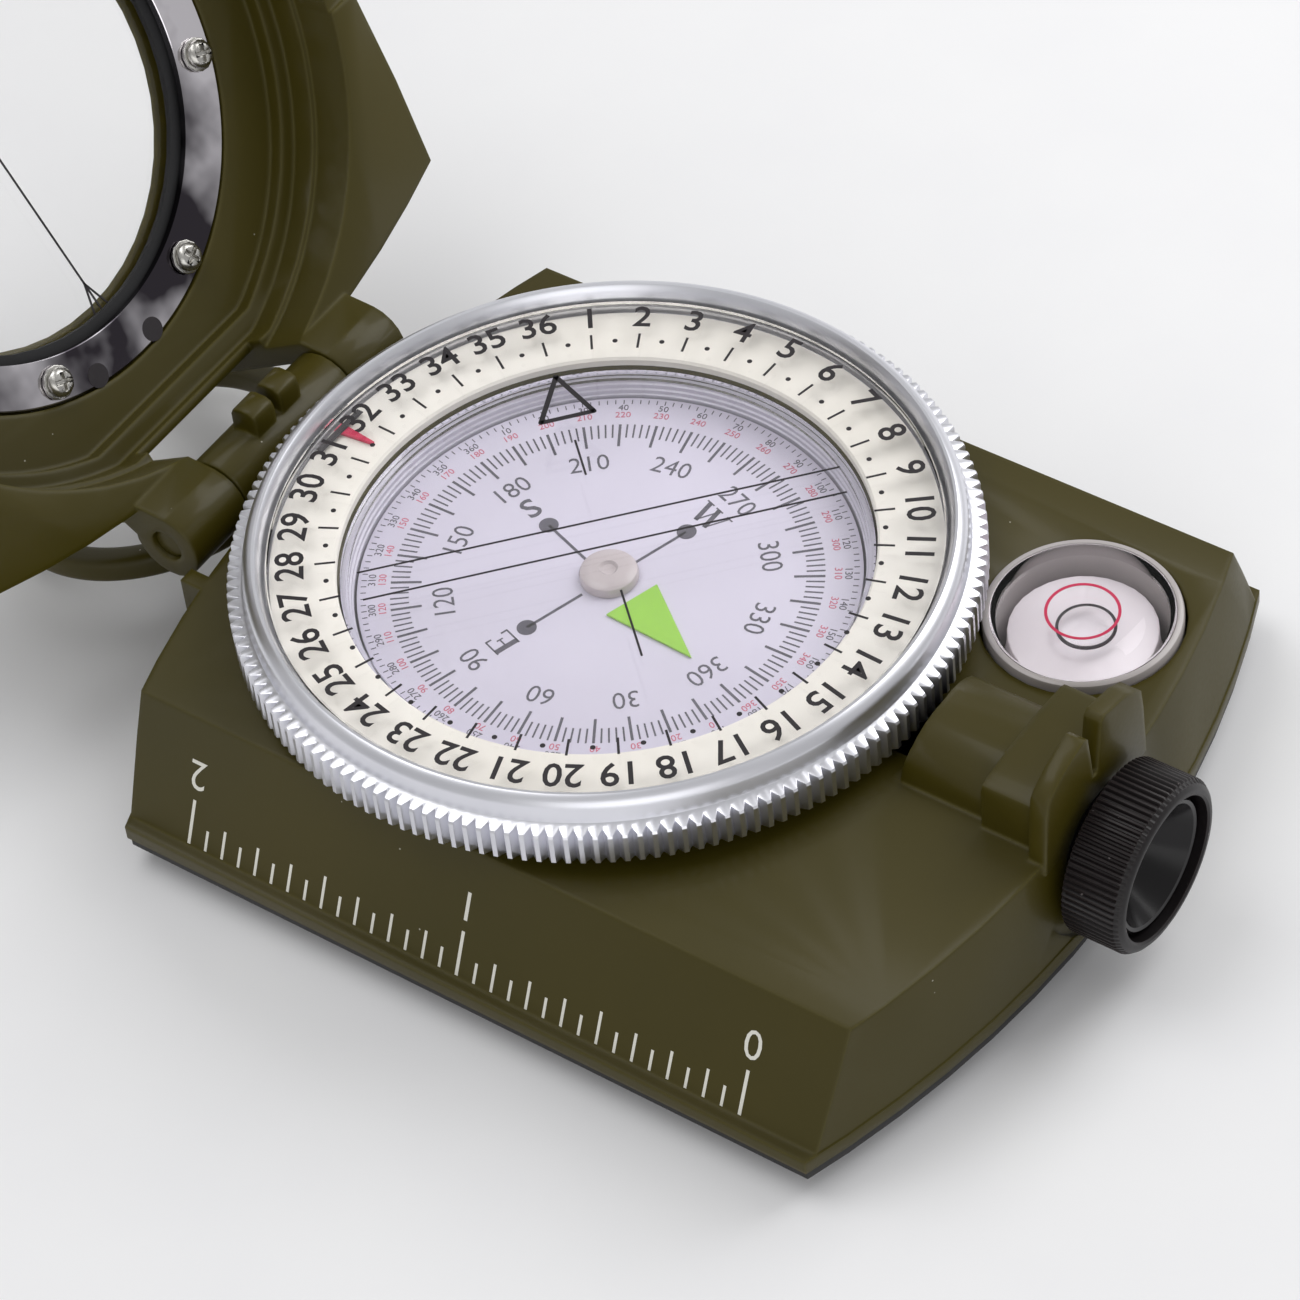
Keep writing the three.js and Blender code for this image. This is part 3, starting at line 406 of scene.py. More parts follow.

# %% [markdown]
# Bright metals. The bezel is turned aluminium, so it gets the lathe's circles; the window's
# retaining ring is polished and plated, its dark and bright patches painted reflections; the small hardware
# is duller plated steel.

# %% Metals


def turned_metal(name, main, partner, roughness, lines=7000.0, depth=0.000004, strength=0.3):
    made_of, made, shader, _ = surface(
        name, main, partner, roughness, metallic=1.0, grain=5000, depth=0.000004, strength=0.1, patches=120)
    circles = group_node(made, turned_lines, Lines_per_metre=lines, Depth=depth, Strength=strength)
    made.set(shader, "Normal", circles.outputs["Normal"])
    sway = math_node(made, "MULTIPLY", circles.outputs["Mask"], 0.1)
    made.set(shader, "Roughness", math_node(made, "ADD", sway, roughness))
    return made_of


bright_aluminium = turned_metal(
    "bright_aluminium", srgb(236, 236, 242), srgb(222, 223, 230), 0.28, depth=0.000003, strength=0.1)
# Dark metal with broad bright patches at random: painted reflections of the studio.
painted_reflection_plate = surface(
    "painted_reflection_plate", srgb(62, 58, 64), srgb(232, 228, 234), 0.06, rougher=0.06, metallic=1.0,
    grain=1500, depth=0.000003, strength=0.12, patches=70, contrast=6.0)[0]
plated_steel = surface(
    "plated_steel", srgb(206, 204, 198), srgb(184, 182, 178), 0.24, metallic=1.0, grain=6000)[0]
capsule_shade = surface(
    "capsule_shade", srgb(206, 202, 214), srgb(184, 180, 194), 0.18, grain=4000, strength=0.1)[0]

# %% [markdown]
# Printed and moulded plastics. The card is a cool white, the ring under the bezel's numbers is
# the warm cream of luminous paint, and the inks are thin films with a slight gloss.

# %% Plastics and inks
card_white = surface(
    "card_white", srgb(210, 205, 219), srgb(202, 196, 212), 0.45, grain=9000, strength=0.08)[0]
glow_cream = surface(
    "glow_cream", srgb(230, 226, 219), srgb(222, 217, 207), 0.42, grain=5000, strength=0.12)[0]
ink_black = surface("ink_black", srgb(26, 22, 26), srgb(40, 34, 38), 0.42, grain=9000, strength=0.1)[0]
ink_grey = surface("ink_grey", srgb(62, 58, 70), srgb(84, 80, 92), 0.45, grain=9000, strength=0.1)[0]
ink_red = surface("ink_red", srgb(206, 38, 84), srgb(190, 30, 70), 0.4, grain=9000, strength=0.1)[0]
ink_rose = surface("ink_rose", srgb(206, 96, 122), srgb(190, 86, 112), 0.45, grain=9000, strength=0.1)[0]
ink_white = surface("ink_white", srgb(232, 230, 220), srgb(214, 212, 202), 0.5, grain=9000, strength=0.2)[0]
glow_green = surface("glow_green", srgb(152, 206, 60), srgb(138, 194, 50), 0.35, grain=5000, strength=0.15)[0]
milky_plastic = surface(
    "milky_plastic", srgb(190, 184, 184), srgb(160, 153, 150), 0.16, grain=4000, strength=0.1)[0]
white_plastic = surface(
    "white_plastic", srgb(216, 209, 213), srgb(204, 198, 202), 0.3, grain=4000, strength=0.1)[0]
black_cover = surface(
    "black_cover", srgb(30, 29, 30), srgb(24, 23, 24), 0.55, grain=2200, depth=0.00003, strength=0.5)[0]
soft_rubber = surface("soft_rubber", srgb(20, 20, 22), srgb(28, 28, 30), 0.7, grain=2500, depth=0.00002)[0]
cap_ivory = surface("cap_ivory", srgb(206, 195, 195), srgb(178, 167, 169), 0.12, grain=4000, strength=0.08)[0]

black_grip, made, shader, colour = surface(
    "black_grip", srgb(22, 17, 18), srgb(16, 13, 14), 0.36, grain=2600, depth=0.00002, strength=0.35)
edge_mask = group_node(made, edge_finder, Reach=0.00025, Gain=2.0)
# The grip is mixed lighter along its edges.
colour = mix_colour(made, edge_mask.outputs["Mask"], colour, srgb(62, 52, 52))
shader.inputs["Specular IOR Level"].default_value = 0.32
specks = group_node(made, dust_specks, Specks_per_metre=1500.0, Size=0.12, Amount=0.12)
made.set(shader, "Base Color", mix_colour(made, specks.outputs["Mask"], colour, srgb(120, 112, 112)))
black_gloss, made, shader, colour = surface(
    "black_gloss", srgb(18, 15, 17), srgb(12, 10, 12), 0.2, grain=1800, depth=0.00001, strength=0.2)
shader.inputs["Specular IOR Level"].default_value = 0.3

# %% [markdown]
# Clear parts. A closed clear solid bends light by itself, but it would also throw a full shadow
# on the card. A Light Path node lets shadow rays pass, so the print under the glass stays lit.

# %% Clear parts


def clear_material(name, tint, roughness, refraction, grain_strength=0.02):
    made_of = bpy.data.materials.new(name)
    made_of.use_nodes = True
    made = Nodes(made_of.node_tree)
    shader = made_of.node_tree.nodes["Principled BSDF"]
    out = made_of.node_tree.nodes["Material Output"]
    ripple = group_node(made, fine_grain, Grain_per_metre=400.0, Depth=0.00001, Strength=grain_strength)
    shader.inputs["Base Color"].default_value = tint
    shader.inputs["Transmission Weight"].default_value = 1.0
    shader.inputs["IOR"].default_value = refraction
    smudge = group_node(made, tone_drift, Patches_per_metre=90.0, Contrast=2.0)
    made.set(shader, "Roughness", math_node(made, "MULTIPLY", smudge.outputs["Mask"], roughness))
    made.set(shader, "Normal", ripple.outputs["Normal"])
    paths = made.add("LightPath")
    passing = made.add("BsdfTransparent", Color=(0.96, 0.96, 0.97, 1))
    choice = made.add("MixShader", Fac=paths.outputs["Is Shadow Ray"])
    made.tree.links.new(shader.outputs["BSDF"], choice.inputs[1])
    made.tree.links.new(passing.outputs["BSDF"], choice.inputs[2])
    made.tree.links.new(choice.outputs["Shader"], out.inputs["Surface"])
    return made_of


clear_glass = clear_material("clear_glass", (1, 1, 1, 1), 0.02, 1.45)
clear_plastic = clear_material("clear_plastic", (1, 0.99, 1, 1), 0.03, 1.3)
air_bubble = clear_material("air_bubble", (1, 1, 1, 1), 0.01, 1.2)
print("materials", len(bpy.data.materials))

# %% [markdown]
# Mesh helpers. Nearly every round piece is a lathe profile: a list of radius and height that is
# spun about Z. `piece` turns the finished bmesh into an object on its body.

# %% Mesh helpers


def spin(bm, profile, segments, place=Matrix.Identity(4), radius_at=None):
    """Spins a profile of (radius, height) about Z. A profile off the axis is closed on itself."""
    on_axis = profile[0][0] == 0 and profile[-1][0] == 0
    rings = []
    for step, point in enumerate(profile):
        r, z = point[0], point[1]
        if r == 0:
            rings.append([bm.verts.new(place @ Vector((0, 0, z)) * MM)])
            continue
        ring = []
        for k in range(segments):
            angle = 2 * math.pi * k / segments
            reach = radius_at(step, k, r) if radius_at else r
            ring.append(bm.verts.new(
                place @ Vector((reach * math.cos(angle), reach * math.sin(angle), z)) * MM))
        rings.append(ring)
    pairs = list(zip(rings, rings[1:]))
    if not on_axis:
        pairs.append((rings[-1], rings[0]))
    for first, second in pairs:
        for k in range(segments):
            n = (k + 1) % segments
            if len(first) == 1:
                bm.faces.new((first[0], second[k], second[n]))
            elif len(second) == 1:
                bm.faces.new((first[k], second[0], first[n]))
            else:
                bm.faces.new((first[k], second[k], second[n], first[n]))


def piece(name, bm, finish, body, slot, *stands_for, crease=32, soften=0.0):
    bmesh.ops.recalc_face_normals(bm, faces=bm.faces)
    mesh = bpy.data.meshes.new(name)
    bm.to_mesh(mesh)
    bm.free()
    mesh.shade_smooth()
    mesh.set_sharp_from_angle(angle=math.radians(crease))
    mesh.materials.append(finish)
    made = bpy.data.objects.new(name, mesh)
    bpy.context.scene.collection.objects.link(made)
    if soften:
        round_edges(made, soften)
    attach(made, body)
    if stands_for:
        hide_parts(*stands_for)
    return made


def round_edges(made, width, angle=32):
    """A small real radius on every hard edge, which is what catches the light."""
    bevel = made.modifiers.new("edges", "BEVEL")
    bevel.width = width * MM
    bevel.segments = 2
    bevel.limit_method = "ANGLE"
    bevel.angle_limit = math.radians(angle)
    bevel.harden_normals = True
    bevel.use_clamp_overlap = True
    return bevel


def lathe(name, profile, finish, body, slot, *stands_for, segments=128, place=Matrix.Identity(4), **options):
    bm = bmesh.new()
    spin(bm, profile, segments, place)
    return piece(name, bm, finish, body, slot, *stands_for, **options)


def bar(bm, length, width, height, place):
    """A small block, length along X and height up from the place."""
    size = Matrix.Diagonal((length * MM, width * MM, height * MM, 1))
    spot = place.copy()
    spot.translation *= MM
    bmesh.ops.create_cube(bm, size=1, matrix=spot @ Matrix.Translation((0, 0, height * MM / 2)) @ size)


def dot(bm, radius, height, place, segments=20):
    spot = place.copy()
    spot.translation *= MM
    bmesh.ops.create_cone(
        bm, cap_ends=True, segments=segments, radius1=radius * MM, radius2=radius * MM, depth=height * MM,
        matrix=spot @ Matrix.Translation((0, 0, height * MM / 2)))


def polar(radius, angle, z, centre=(0, 0)):
    """A place on a dial with its local Y pointing outwards."""
    spot = Vector((centre[0] + radius * math.cos(angle), centre[1] + radius * math.sin(angle), z))
    return Matrix.Translation(spot) @ Matrix.Rotation(angle - math.pi / 2, 4, "Z")


# %% [markdown]
# Numbers are type that is turned into thin solid letters, then set round a dial with their tops
# outwards. Each different word is made once and its mesh copied to where it is printed.

# %% Type
TYPE_STOCK = {}


def letters(words, weight):
    if (words, weight) in TYPE_STOCK:
        return TYPE_STOCK[(words, weight)]
    curve = bpy.data.curves.new("type", "FONT")
    curve.body = words
    curve.size = 1
    curve.align_x, curve.align_y = "CENTER", "CENTER"
    curve.offset = weight
    curve.extrude = 0.5
    curve.resolution_u = 3
    holder = bpy.data.objects.new("type", curve)
    bpy.context.scene.collection.objects.link(holder)
    bpy.context.view_layer.update()
    made = bpy.data.meshes.new_from_object(holder.evaluated_get(bpy.context.evaluated_depsgraph_get()))
    bpy.data.objects.remove(holder)
    TYPE_STOCK[(words, weight)] = made
    return made


def stamp(bm, words, height, place, film=0.02, weight=0.0, stretch=1.0):
    """Prints words, height tall, centred on the place, as a film that rises from it."""
    cap = 0.73
    across = height / cap * MM
    sheet = letters(words, weight).copy()
    spot = place.copy()
    spot.translation *= MM
    sheet.transform(
        spot @ Matrix.Translation((0, 0, film * MM / 2))
        @ Matrix.Diagonal((across * stretch, across, film * MM, 1)))
    bm.from_mesh(sheet)
    bpy.data.meshes.remove(sheet)


# %% [markdown]
# The castings, covers, pins and clips come straight from the CAD model. Their flat triangles
# are first dissolved into whole faces, then every hard edge gets a small radius.

# %% Dress the CAD pieces


def dress(node, finish, radius):
    made = nodes[node]
    made.data.materials.clear()
    made.data.materials.append(finish)
    made.data.shade_smooth()
    weld = made.modifiers.new("weld", "WELD")
    weld.merge_threshold = 0.000002
    tidy = made.modifiers.new("whole_faces", "DECIMATE")
    tidy.decimate_type = "DISSOLVE"
    tidy.angle_limit = math.radians(1.0)
    round_edges(made, radius)
    return made


dress("base_casting", olive_paint, 0.35)
dress("lid_shell", olive_paint, 0.35)
dress("hinge_pin", olive_paint, 0.15)
dress("bottom_cover", black_cover, 0.2)
for name in ("bezel_snap_ring", "thumb_ring_pin", "card_magnet", "pivot_needle", "prism_clip",
             "lens_retainer"):
    dress(name, plated_steel, 0.08)
for number in range(1, 5):
    dress(f"cover_screw_{number}", plated_steel, 0.08)
for number in range(1, 9):
    dress(f"spring_washer_{number}", plated_steel, 0.05)
    dress(f"retainer_screw_{number}", plated_steel, 0.06)
dress("window_gasket", soft_rubber, 0.05)
dress("sight_prism", clear_glass, 0.1)
dress("eyepiece_lens", clear_glass, 0.05)
dress("level_disc", white_plastic, 0.1)
dress("index_pointer", ink_red, 0.02)
print("dressed the CAD pieces")

# %% [markdown]
# The bezel is the piece that the hand turns. Its band has V-shaped teeth cut right through the
# top, a ledge above them, and a thin polished lip that holds the glass. A tooth is three steps
# of the spin: a narrow crest and a sharp root, so the band stays one clean grid of faces.

# %% Bezel
TEETH = 168
STEPS_PER_TOOTH = 3
CREST, ROOT = 29.12, 28.38
BAND_LOW = TOP_FACE + 1.25
BAND_TOP = BAND_LOW + 3.2
BEZEL_PROFILE = [
    (25.72, BAND_LOW), (28.1, BAND_LOW), (28.75, BAND_LOW + 0.12, 0.5), (CREST, BAND_LOW + 0.42, 1.0),
    (CREST, BAND_TOP - 0.2, 1.0), (CREST - 0.12, BAND_TOP - 0.02, 1.0), (28.1, BAND_TOP + 0.16),
    (27.9, BAND_TOP + 0.3), (27.83, BAND_TOP + 0.5), (27.72, GLASS_TOP + 0.3), (27.6, GLASS_TOP + 0.58),
    (27.42, GLASS_TOP + 0.8), (27.15, GLASS_TOP + 1.05), (26.93, GLASS_TOP + 1.15), (26.72, GLASS_TOP + 1.12),
    (26.55, GLASS_TOP + 0.95), (26.42, GLASS_TOP + 0.6), (26.1, GLASS_TOP - 0.15), (26.1, GLASS_LOW - 1.2),
    (25.72, GLASS_LOW - 1.45),
]


def tooth(step, k, r):
    cut = BEZEL_PROFILE[step][2] if len(BEZEL_PROFILE[step]) > 2 else 0
    if not cut:
        return r
    return r if k % STEPS_PER_TOOTH else r - (CREST - ROOT) * cut


bm = bmesh.new()
spin(bm, BEZEL_PROFILE, TEETH * STEPS_PER_TOOTH, radius_at=tooth)
piece("bezel_knurled", bm, bright_aluminium, "bezel", "bezel", "bezel_ring", crease=28)

glass_edge = 0.12
lathe("bezel_pane", [
    (0, GLASS_LOW), (GLASS_RADIUS - glass_edge, GLASS_LOW), (GLASS_RADIUS, GLASS_LOW + glass_edge),
    (GLASS_RADIUS, GLASS_TOP - glass_edge), (GLASS_RADIUS - glass_edge, GLASS_TOP), (0, GLASS_TOP),
], clear_glass, "bezel", "clear", "bezel_glass")
print("bezel with", TEETH, "teeth")

# %% [markdown]
# Print on the bezel's glass: tens of degrees, a tick at each and a dot between, two parallel
# aiming lines, the two short strokes of the meridian line and an open triangle.

# %% Bezel print
PRINT = 0.02
FIRST_NUMBER = math.radians(137.5)
NUMBER_RADIUS, TICK_RADIUS = 24.0, 21.39
bm = bmesh.new()
for number in range(1, 37):
    angle = FIRST_NUMBER - math.radians(10 * number)
    stamp(bm, str(number), 2.3, polar(NUMBER_RADIUS, angle, GLASS_TOP), weight=0.012, stretch=0.98)
    bar(bm, 0.2, 1.6, PRINT, polar(TICK_RADIUS, angle, GLASS_TOP))
    dot(bm, 0.21, PRINT, polar(TICK_RADIUS, angle - math.radians(5), GLASS_TOP))


def stroke(bm, start, end, width, z, height=PRINT):
    a, b = Vector(start), Vector(end)
    middle = (a + b) / 2
    spot = Matrix.Translation((middle.x, middle.y, z)) @ Matrix.Rotation(
        math.atan2(b.y - a.y, b.x - a.x), 4, "Z")
    bar(bm, (b - a).length, width, height, spot)


TRIANGLE = [(-13.23, 12.37), (-11.3, 7.6), (-8.45, 10.75)]
for start, end in zip(TRIANGLE, TRIANGLE[1:] + TRIANGLE[:1]):
    stroke(bm, start, end, 0.42, GLASS_TOP)
for corner in TRIANGLE:
    dot(bm, 0.21, PRINT, Matrix.Translation((*corner, GLASS_TOP)), segments=12)
AIMING = [((-14.21, -12.6), (11.53, 15.16)), ((-12.13, -14.63), (13.45, 13.18)),
          ((-7.91, 7.39), (-4.99, 4.70)), ((4.27, -3.96), (9.47, -8.72))]
for start, end in AIMING:
    stroke(bm, start, end, 0.18, GLASS_TOP)
piece("bezel_print", bm, ink_black, "bezel", "bezel")

# %% [markdown]
# Under the glass lies the luminous ring: a shallow dish, warm white, with a soft inner edge.
# The red index sits on it towards the hinge, beside a dark bar of painted shade.

# %% Luminous ring and index
lathe("glow_ring", [
    (20.72, GLOW_LOW), (25.85, GLOW_LOW), (25.85, GLOW_TOP - 0.05), (25.6, GLOW_TOP), (21.2, GLOW_TOP - 0.02),
    (20.9, GLOW_TOP - 0.1), (20.72, GLOW_TOP - 0.3),
], glow_cream, "base", "luminous", "luminous_ring", segments=160)
bm = bmesh.new()
# A black bar beside the index: painted shade.
stroke(bm, (-25.25, -2.9), (-25.1, 2.3), 0.6, GLOW_TOP + 0.3, 0.03)
piece("index_slot_shade", bm, ink_black, "base", "luminous")

# %% [markdown]
# The capsule is a clear cup of damping liquid. Seen through the glass its stepped wall shows as
# fine grey circles round the card, so the cup is spun with three small ridges.

# %% Capsule
CUP_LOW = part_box("capsule_cup")[0].z / MM
WINDOW_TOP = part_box("capsule_window")[1].z / MM
CUP_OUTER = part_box("capsule_cup")[1].x / MM
ridges = [
    (19.72, CARD_TOP - 0.3), (19.72, CARD_TOP + 0.1), (19.86, CARD_TOP + 0.16), (19.86, CARD_TOP + 0.5),
    (20.02, CARD_TOP + 0.58), (20.02, CARD_TOP + 0.95), (20.2, CARD_TOP + 1.02), (20.2, WINDOW_TOP - 1.25),
]
lathe("capsule_wall", [
    (0, CUP_LOW), (CUP_OUTER, CUP_LOW), (CUP_OUTER, WINDOW_TOP - 1.2), (20.25, WINDOW_TOP - 1.2),
    *reversed(ridges), (19.7, CUP_LOW + 1.0), (0, CUP_LOW + 1.0),
], capsule_shade, "base", "clear", "capsule_cup", segments=144)
lathe("capsule_pane", [
    (0, WINDOW_TOP - 0.8), (20.0, WINDOW_TOP - 0.8), (20.0, WINDOW_TOP - 1.1), (CUP_OUTER, WINDOW_TOP - 1.1),
    (CUP_OUTER, WINDOW_TOP - 0.08), (CUP_OUTER - 0.1, WINDOW_TOP), (0, WINDOW_TOP),
], clear_glass, "base", "clear", "capsule_window", segments=144)

# %% [markdown]
# The card. One scale in steps of two degrees with bold tens, numbers every thirty degrees, three
# cardinal letters tied to the centre by a stroke and a dot, and a green pointer for north.
# Round its edge runs a small double row of numbers for the bearing and its opposite.

# %% Card
NORTH = math.radians(-18.8)
CARD_CENTRE = (0, -0.3)
lathe("card_disc", [
    (1.7, CARD_TOP - 0.5), (CARD_RADIUS - 0.1, CARD_TOP - 0.5), (CARD_RADIUS, CARD_TOP - 0.4),
    (CARD_RADIUS, CARD_TOP - 0.06), (CARD_RADIUS - 0.1, CARD_TOP), (1.7, CARD_TOP),
], card_white, "card", "card", "compass_card", segments=144)


def bearing(degrees):
    return NORTH - math.radians(degrees)


bm = bmesh.new()
for degree in range(0, 360, 2):
    long = degree % 10 == 0
    length = 2.4 if long else 1.45
    bar(bm, 0.22 if long else 0.14, length, PRINT,
        polar(16.75 - length / 2, bearing(degree), CARD_TOP, CARD_CENTRE))
    bar(bm, 0.08, 0.42, PRINT, polar(19.0, bearing(degree), CARD_TOP))
for degree in range(30, 361, 30):
    stamp(bm, str(degree), 1.75, polar(12.55, bearing(degree), CARD_TOP, CARD_CENTRE),
          weight=-0.004, stretch=0.92)
SERIF = 0.13
EAST = [((-0.55, -1.05), (-0.55, 1.05), 0.46), ((-0.85, 1.0), (0.8, 1.0), SERIF),
        ((-0.85, -1.0), (0.85, -1.0), SERIF),
        ((-0.4, 0), (0.35, 0), SERIF), ((0.75, 1.05), (0.75, 0.5), 0.15), ((0.8, -1.05), (0.8, -0.45), 0.15),
        ((0.32, 0.28), (0.32, -0.28), SERIF)]
WEST = [((-1.2, 1.0), (-0.58, -1.0), 0.4), ((-0.6, -1.0), (0.0, 0.9), SERIF),
        ((-0.12, 1.0), (0.5, -1.0), 0.4), ((0.5, -1.0), (1.15, 1.0), SERIF),
        ((-1.6, 1.0), (-0.8, 1.0), SERIF), ((-0.5, 1.0), (0.3, 1.0), SERIF),
        ((0.85, 1.0), (1.5, 1.0), SERIF)]
for degree, strokes in ((90, EAST), (180, None), (270, WEST)):
    spot = polar(9.95, bearing(degree), CARD_TOP, CARD_CENTRE)
    if strokes is None:
        stamp(bm, "S", 2.1, spot, weight=0.012, stretch=1.02)
    for start, end, width in strokes or []:
        a, b = spot @ Vector((*start, 0)), spot @ Vector((*end, 0))
        stroke(bm, (a.x, a.y), (b.x, b.y), width, CARD_TOP)
    dot(bm, 0.78, PRINT, polar(7.65, bearing(degree), CARD_TOP, CARD_CENTRE), segments=32)
    bar(bm, 0.24, 5.2, PRINT, polar(5.0, bearing(degree), CARD_TOP, CARD_CENTRE))
piece("card_print", bm, ink_grey, "card", "card")
for name, radius, turn, ink in (
        ("card_back_bearings", 18.35, 180, ink_grey), ("card_bearings", 17.55, 0, ink_rose)):
    bm = bmesh.new()
    for degree in range(0, 360, 10):
        shown = str((degree + turn) % 360 or 360)
        stamp(bm, shown, 0.62, polar(radius, bearing(degree), CARD_TOP), weight=0.0)
    piece(name, bm, ink, "card", "card")

ARROW = [(10.3, -3.9), (2.1, -3.5), (3.7, 1.1)]
bm = bmesh.new()
low = [bm.verts.new(Vector((x, y, CARD_TOP + 0.01)) * MM) for x, y in ARROW]
face = bm.faces.new(low)
raised = bmesh.ops.extrude_face_region(bm, geom=[face])
raised_verts = [v for v in raised["geom"] if isinstance(v, bmesh.types.BMVert)]
bmesh.ops.translate(bm, verts=raised_verts, vec=(0, 0, 0.22 * MM))
piece("north_arrow", bm, glow_green, "card", "card", soften=0.09)

# %% [markdown]
# The jewel cap at the centre is a small polished dome that turns with the card on the needle.

# %% Jewel cap
lathe("jewel_dome", [
    (0, CARD_TOP + 0.4), (0.95, CARD_TOP - 0.1), (0.95, CARD_TOP - 0.75), (1.5, CARD_TOP - 0.75),
    (1.5, CARD_TOP + 0.06), (2.3, CARD_TOP + 0.06), (2.32, CARD_TOP + 0.5), (2.2, CARD_TOP + 0.78),
    (1.95, CARD_TOP + 0.95), (1.4, CARD_TOP + 1.03), (0.75, CARD_TOP + 1.06), (0.55, CARD_TOP + 0.85),
    (0, CARD_TOP + 0.72),
], cap_ivory, "card", "clear", "pivot_jewel", segments=64)

# %% [markdown]
# The level is a clear top over a white floor, held in a milky wall that slopes in towards the
# floor. A red circle is printed on top, and the bubble floats under it as a flattened drop of air, ringed by
# a black band of painted shade along its rim.

# %% Level
level_low, level_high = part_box("level_vial")
LEVEL_X, LEVEL_Y = ((a + b) / 2 / MM for a, b in zip(level_low.xy, level_high.xy))
LEVEL_LOW, LEVEL_TOP = level_low.z / MM, level_high.z / MM
LEVEL_SPOT = Matrix.Translation((LEVEL_X, LEVEL_Y, 0))
lathe("level_cup", [
    (0, LEVEL_TOP - 0.95), (3.0, LEVEL_TOP - 1.0), (4.6, LEVEL_TOP - 1.12), (5.9, LEVEL_TOP - 1.3),
    (6.6, LEVEL_TOP - 1.2), (7.1, LEVEL_TOP - 0.2), (7.1, LEVEL_TOP - 0.06), (7.02, LEVEL_TOP),
    (0, LEVEL_TOP),
], clear_plastic, "base", "clear", "level_vial", segments=128, place=LEVEL_SPOT)
lathe("level_wall", [
    (6.1, LEVEL_LOW), (7.7, LEVEL_LOW), (7.7, LEVEL_TOP - 0.3), (7.62, LEVEL_TOP - 0.1), (7.45, LEVEL_TOP),
    (7.2, LEVEL_TOP), (7.13, LEVEL_TOP - 0.1), (7.13, LEVEL_TOP - 0.25), (6.1, LEVEL_LOW + 0.6),
], milky_plastic, "base", "white_plastic", segments=128, place=LEVEL_SPOT)
lathe("level_circle", [
    (2.68, LEVEL_TOP + 0.002), (2.92, LEVEL_TOP + 0.002), (2.92, LEVEL_TOP + 0.03), (2.68, LEVEL_TOP + 0.03),
], ink_red, "base", "red", segments=96, place=LEVEL_SPOT)
BUBBLE = Matrix.Translation((LEVEL_X + 0.5, LEVEL_Y - 0.35, LEVEL_TOP - 1.45))
bm = bmesh.new()
bubble_spot = BUBBLE.copy()
bubble_spot.translation *= MM
bmesh.ops.create_uvsphere(
    bm, u_segments=64, v_segments=24, radius=MM, matrix=bubble_spot @ Matrix.Diagonal((2.2, 2.2, 0.42, 1)))
piece("level_bubble", bm, air_bubble, "base", "clear")
# Black band round the bubble: painted shade of its rim.
lathe("bubble_edge_shade", [
    (2.1, -0.06), (2.36, -0.06), (2.36, 0.06), (2.1, 0.06),
], ink_black, "base", "clear", segments=96, place=BUBBLE)

# %% [markdown]
# The eyepiece ring is turned with the fingertips, so it is ribbed along its length, with a plain
# chamfered rim at the mouth. Inside it the lens cell is a smooth black cone.

# %% Eyepiece
RIBS = 76
RIB_STEPS = 4
RIB_DEPTH = 0.26
RING_BACK, RING_FRONT = (corner.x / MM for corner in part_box("eyepiece_ring"))
RING_RADIUS = 7.04
EYE_SPOT = Matrix.Translation((0, 0, EYE_Z)) @ Matrix.Rotation(math.pi / 2, 4, "Y")
EYE_PROFILE = [
    (4.66, RING_BACK), (6.5, RING_BACK), (6.95, RING_BACK + 0.18, 0.7), (RING_RADIUS, RING_BACK + 0.4, 1.0),
    (RING_RADIUS, RING_FRONT - 0.75, 1.0), (RING_RADIUS - 0.06, RING_FRONT - 0.6, 0.6),
    (6.72, RING_FRONT - 0.25), (6.45, RING_FRONT - 0.06), (6.3, RING_FRONT), (6.05, RING_FRONT),
    (5.86, RING_FRONT - 0.12), (5.86, RING_BACK + 0.9), (4.66, RING_BACK + 0.9),
]


def rib(step, k, r):
    cut = EYE_PROFILE[step][2] if len(EYE_PROFILE[step]) > 2 else 0
    return r - RIB_DEPTH * cut * (0, 1, 1, 0)[k % RIB_STEPS]


bm = bmesh.new()
spin(bm, EYE_PROFILE, RIBS * RIB_STEPS, EYE_SPOT, radius_at=rib)
piece("eyepiece_grip", bm, black_grip, "eyepiece", "eyepiece_black", "eyepiece_ring", crease=28)
lathe("lens_cone", [
    (2.95, RING_BACK + 1.4), (3.5, RING_BACK + 1.4), (3.5, RING_BACK - 2.6), (4.4, RING_BACK - 2.6),
    (4.4, RING_BACK + 1.15), (5.5, RING_BACK + 1.15), (5.5, RING_FRONT - 0.95), (5.25, RING_FRONT - 0.7),
    (4.95, RING_FRONT - 0.78), (3.1, RING_BACK + 1.6),
], black_gloss, "lens", "eyepiece_black", "lens_cell", segments=96, place=EYE_SPOT)

# %% [markdown]
# The lid's window: a clear pane in a plated ring with two small notches, and one fine hair line
# for aiming, which ends in a small fork
# near the hinge. Both are drawn with the lid shut and then swung open with it. The notches are black discs
# laid on the ring, painted shade in the hollows.

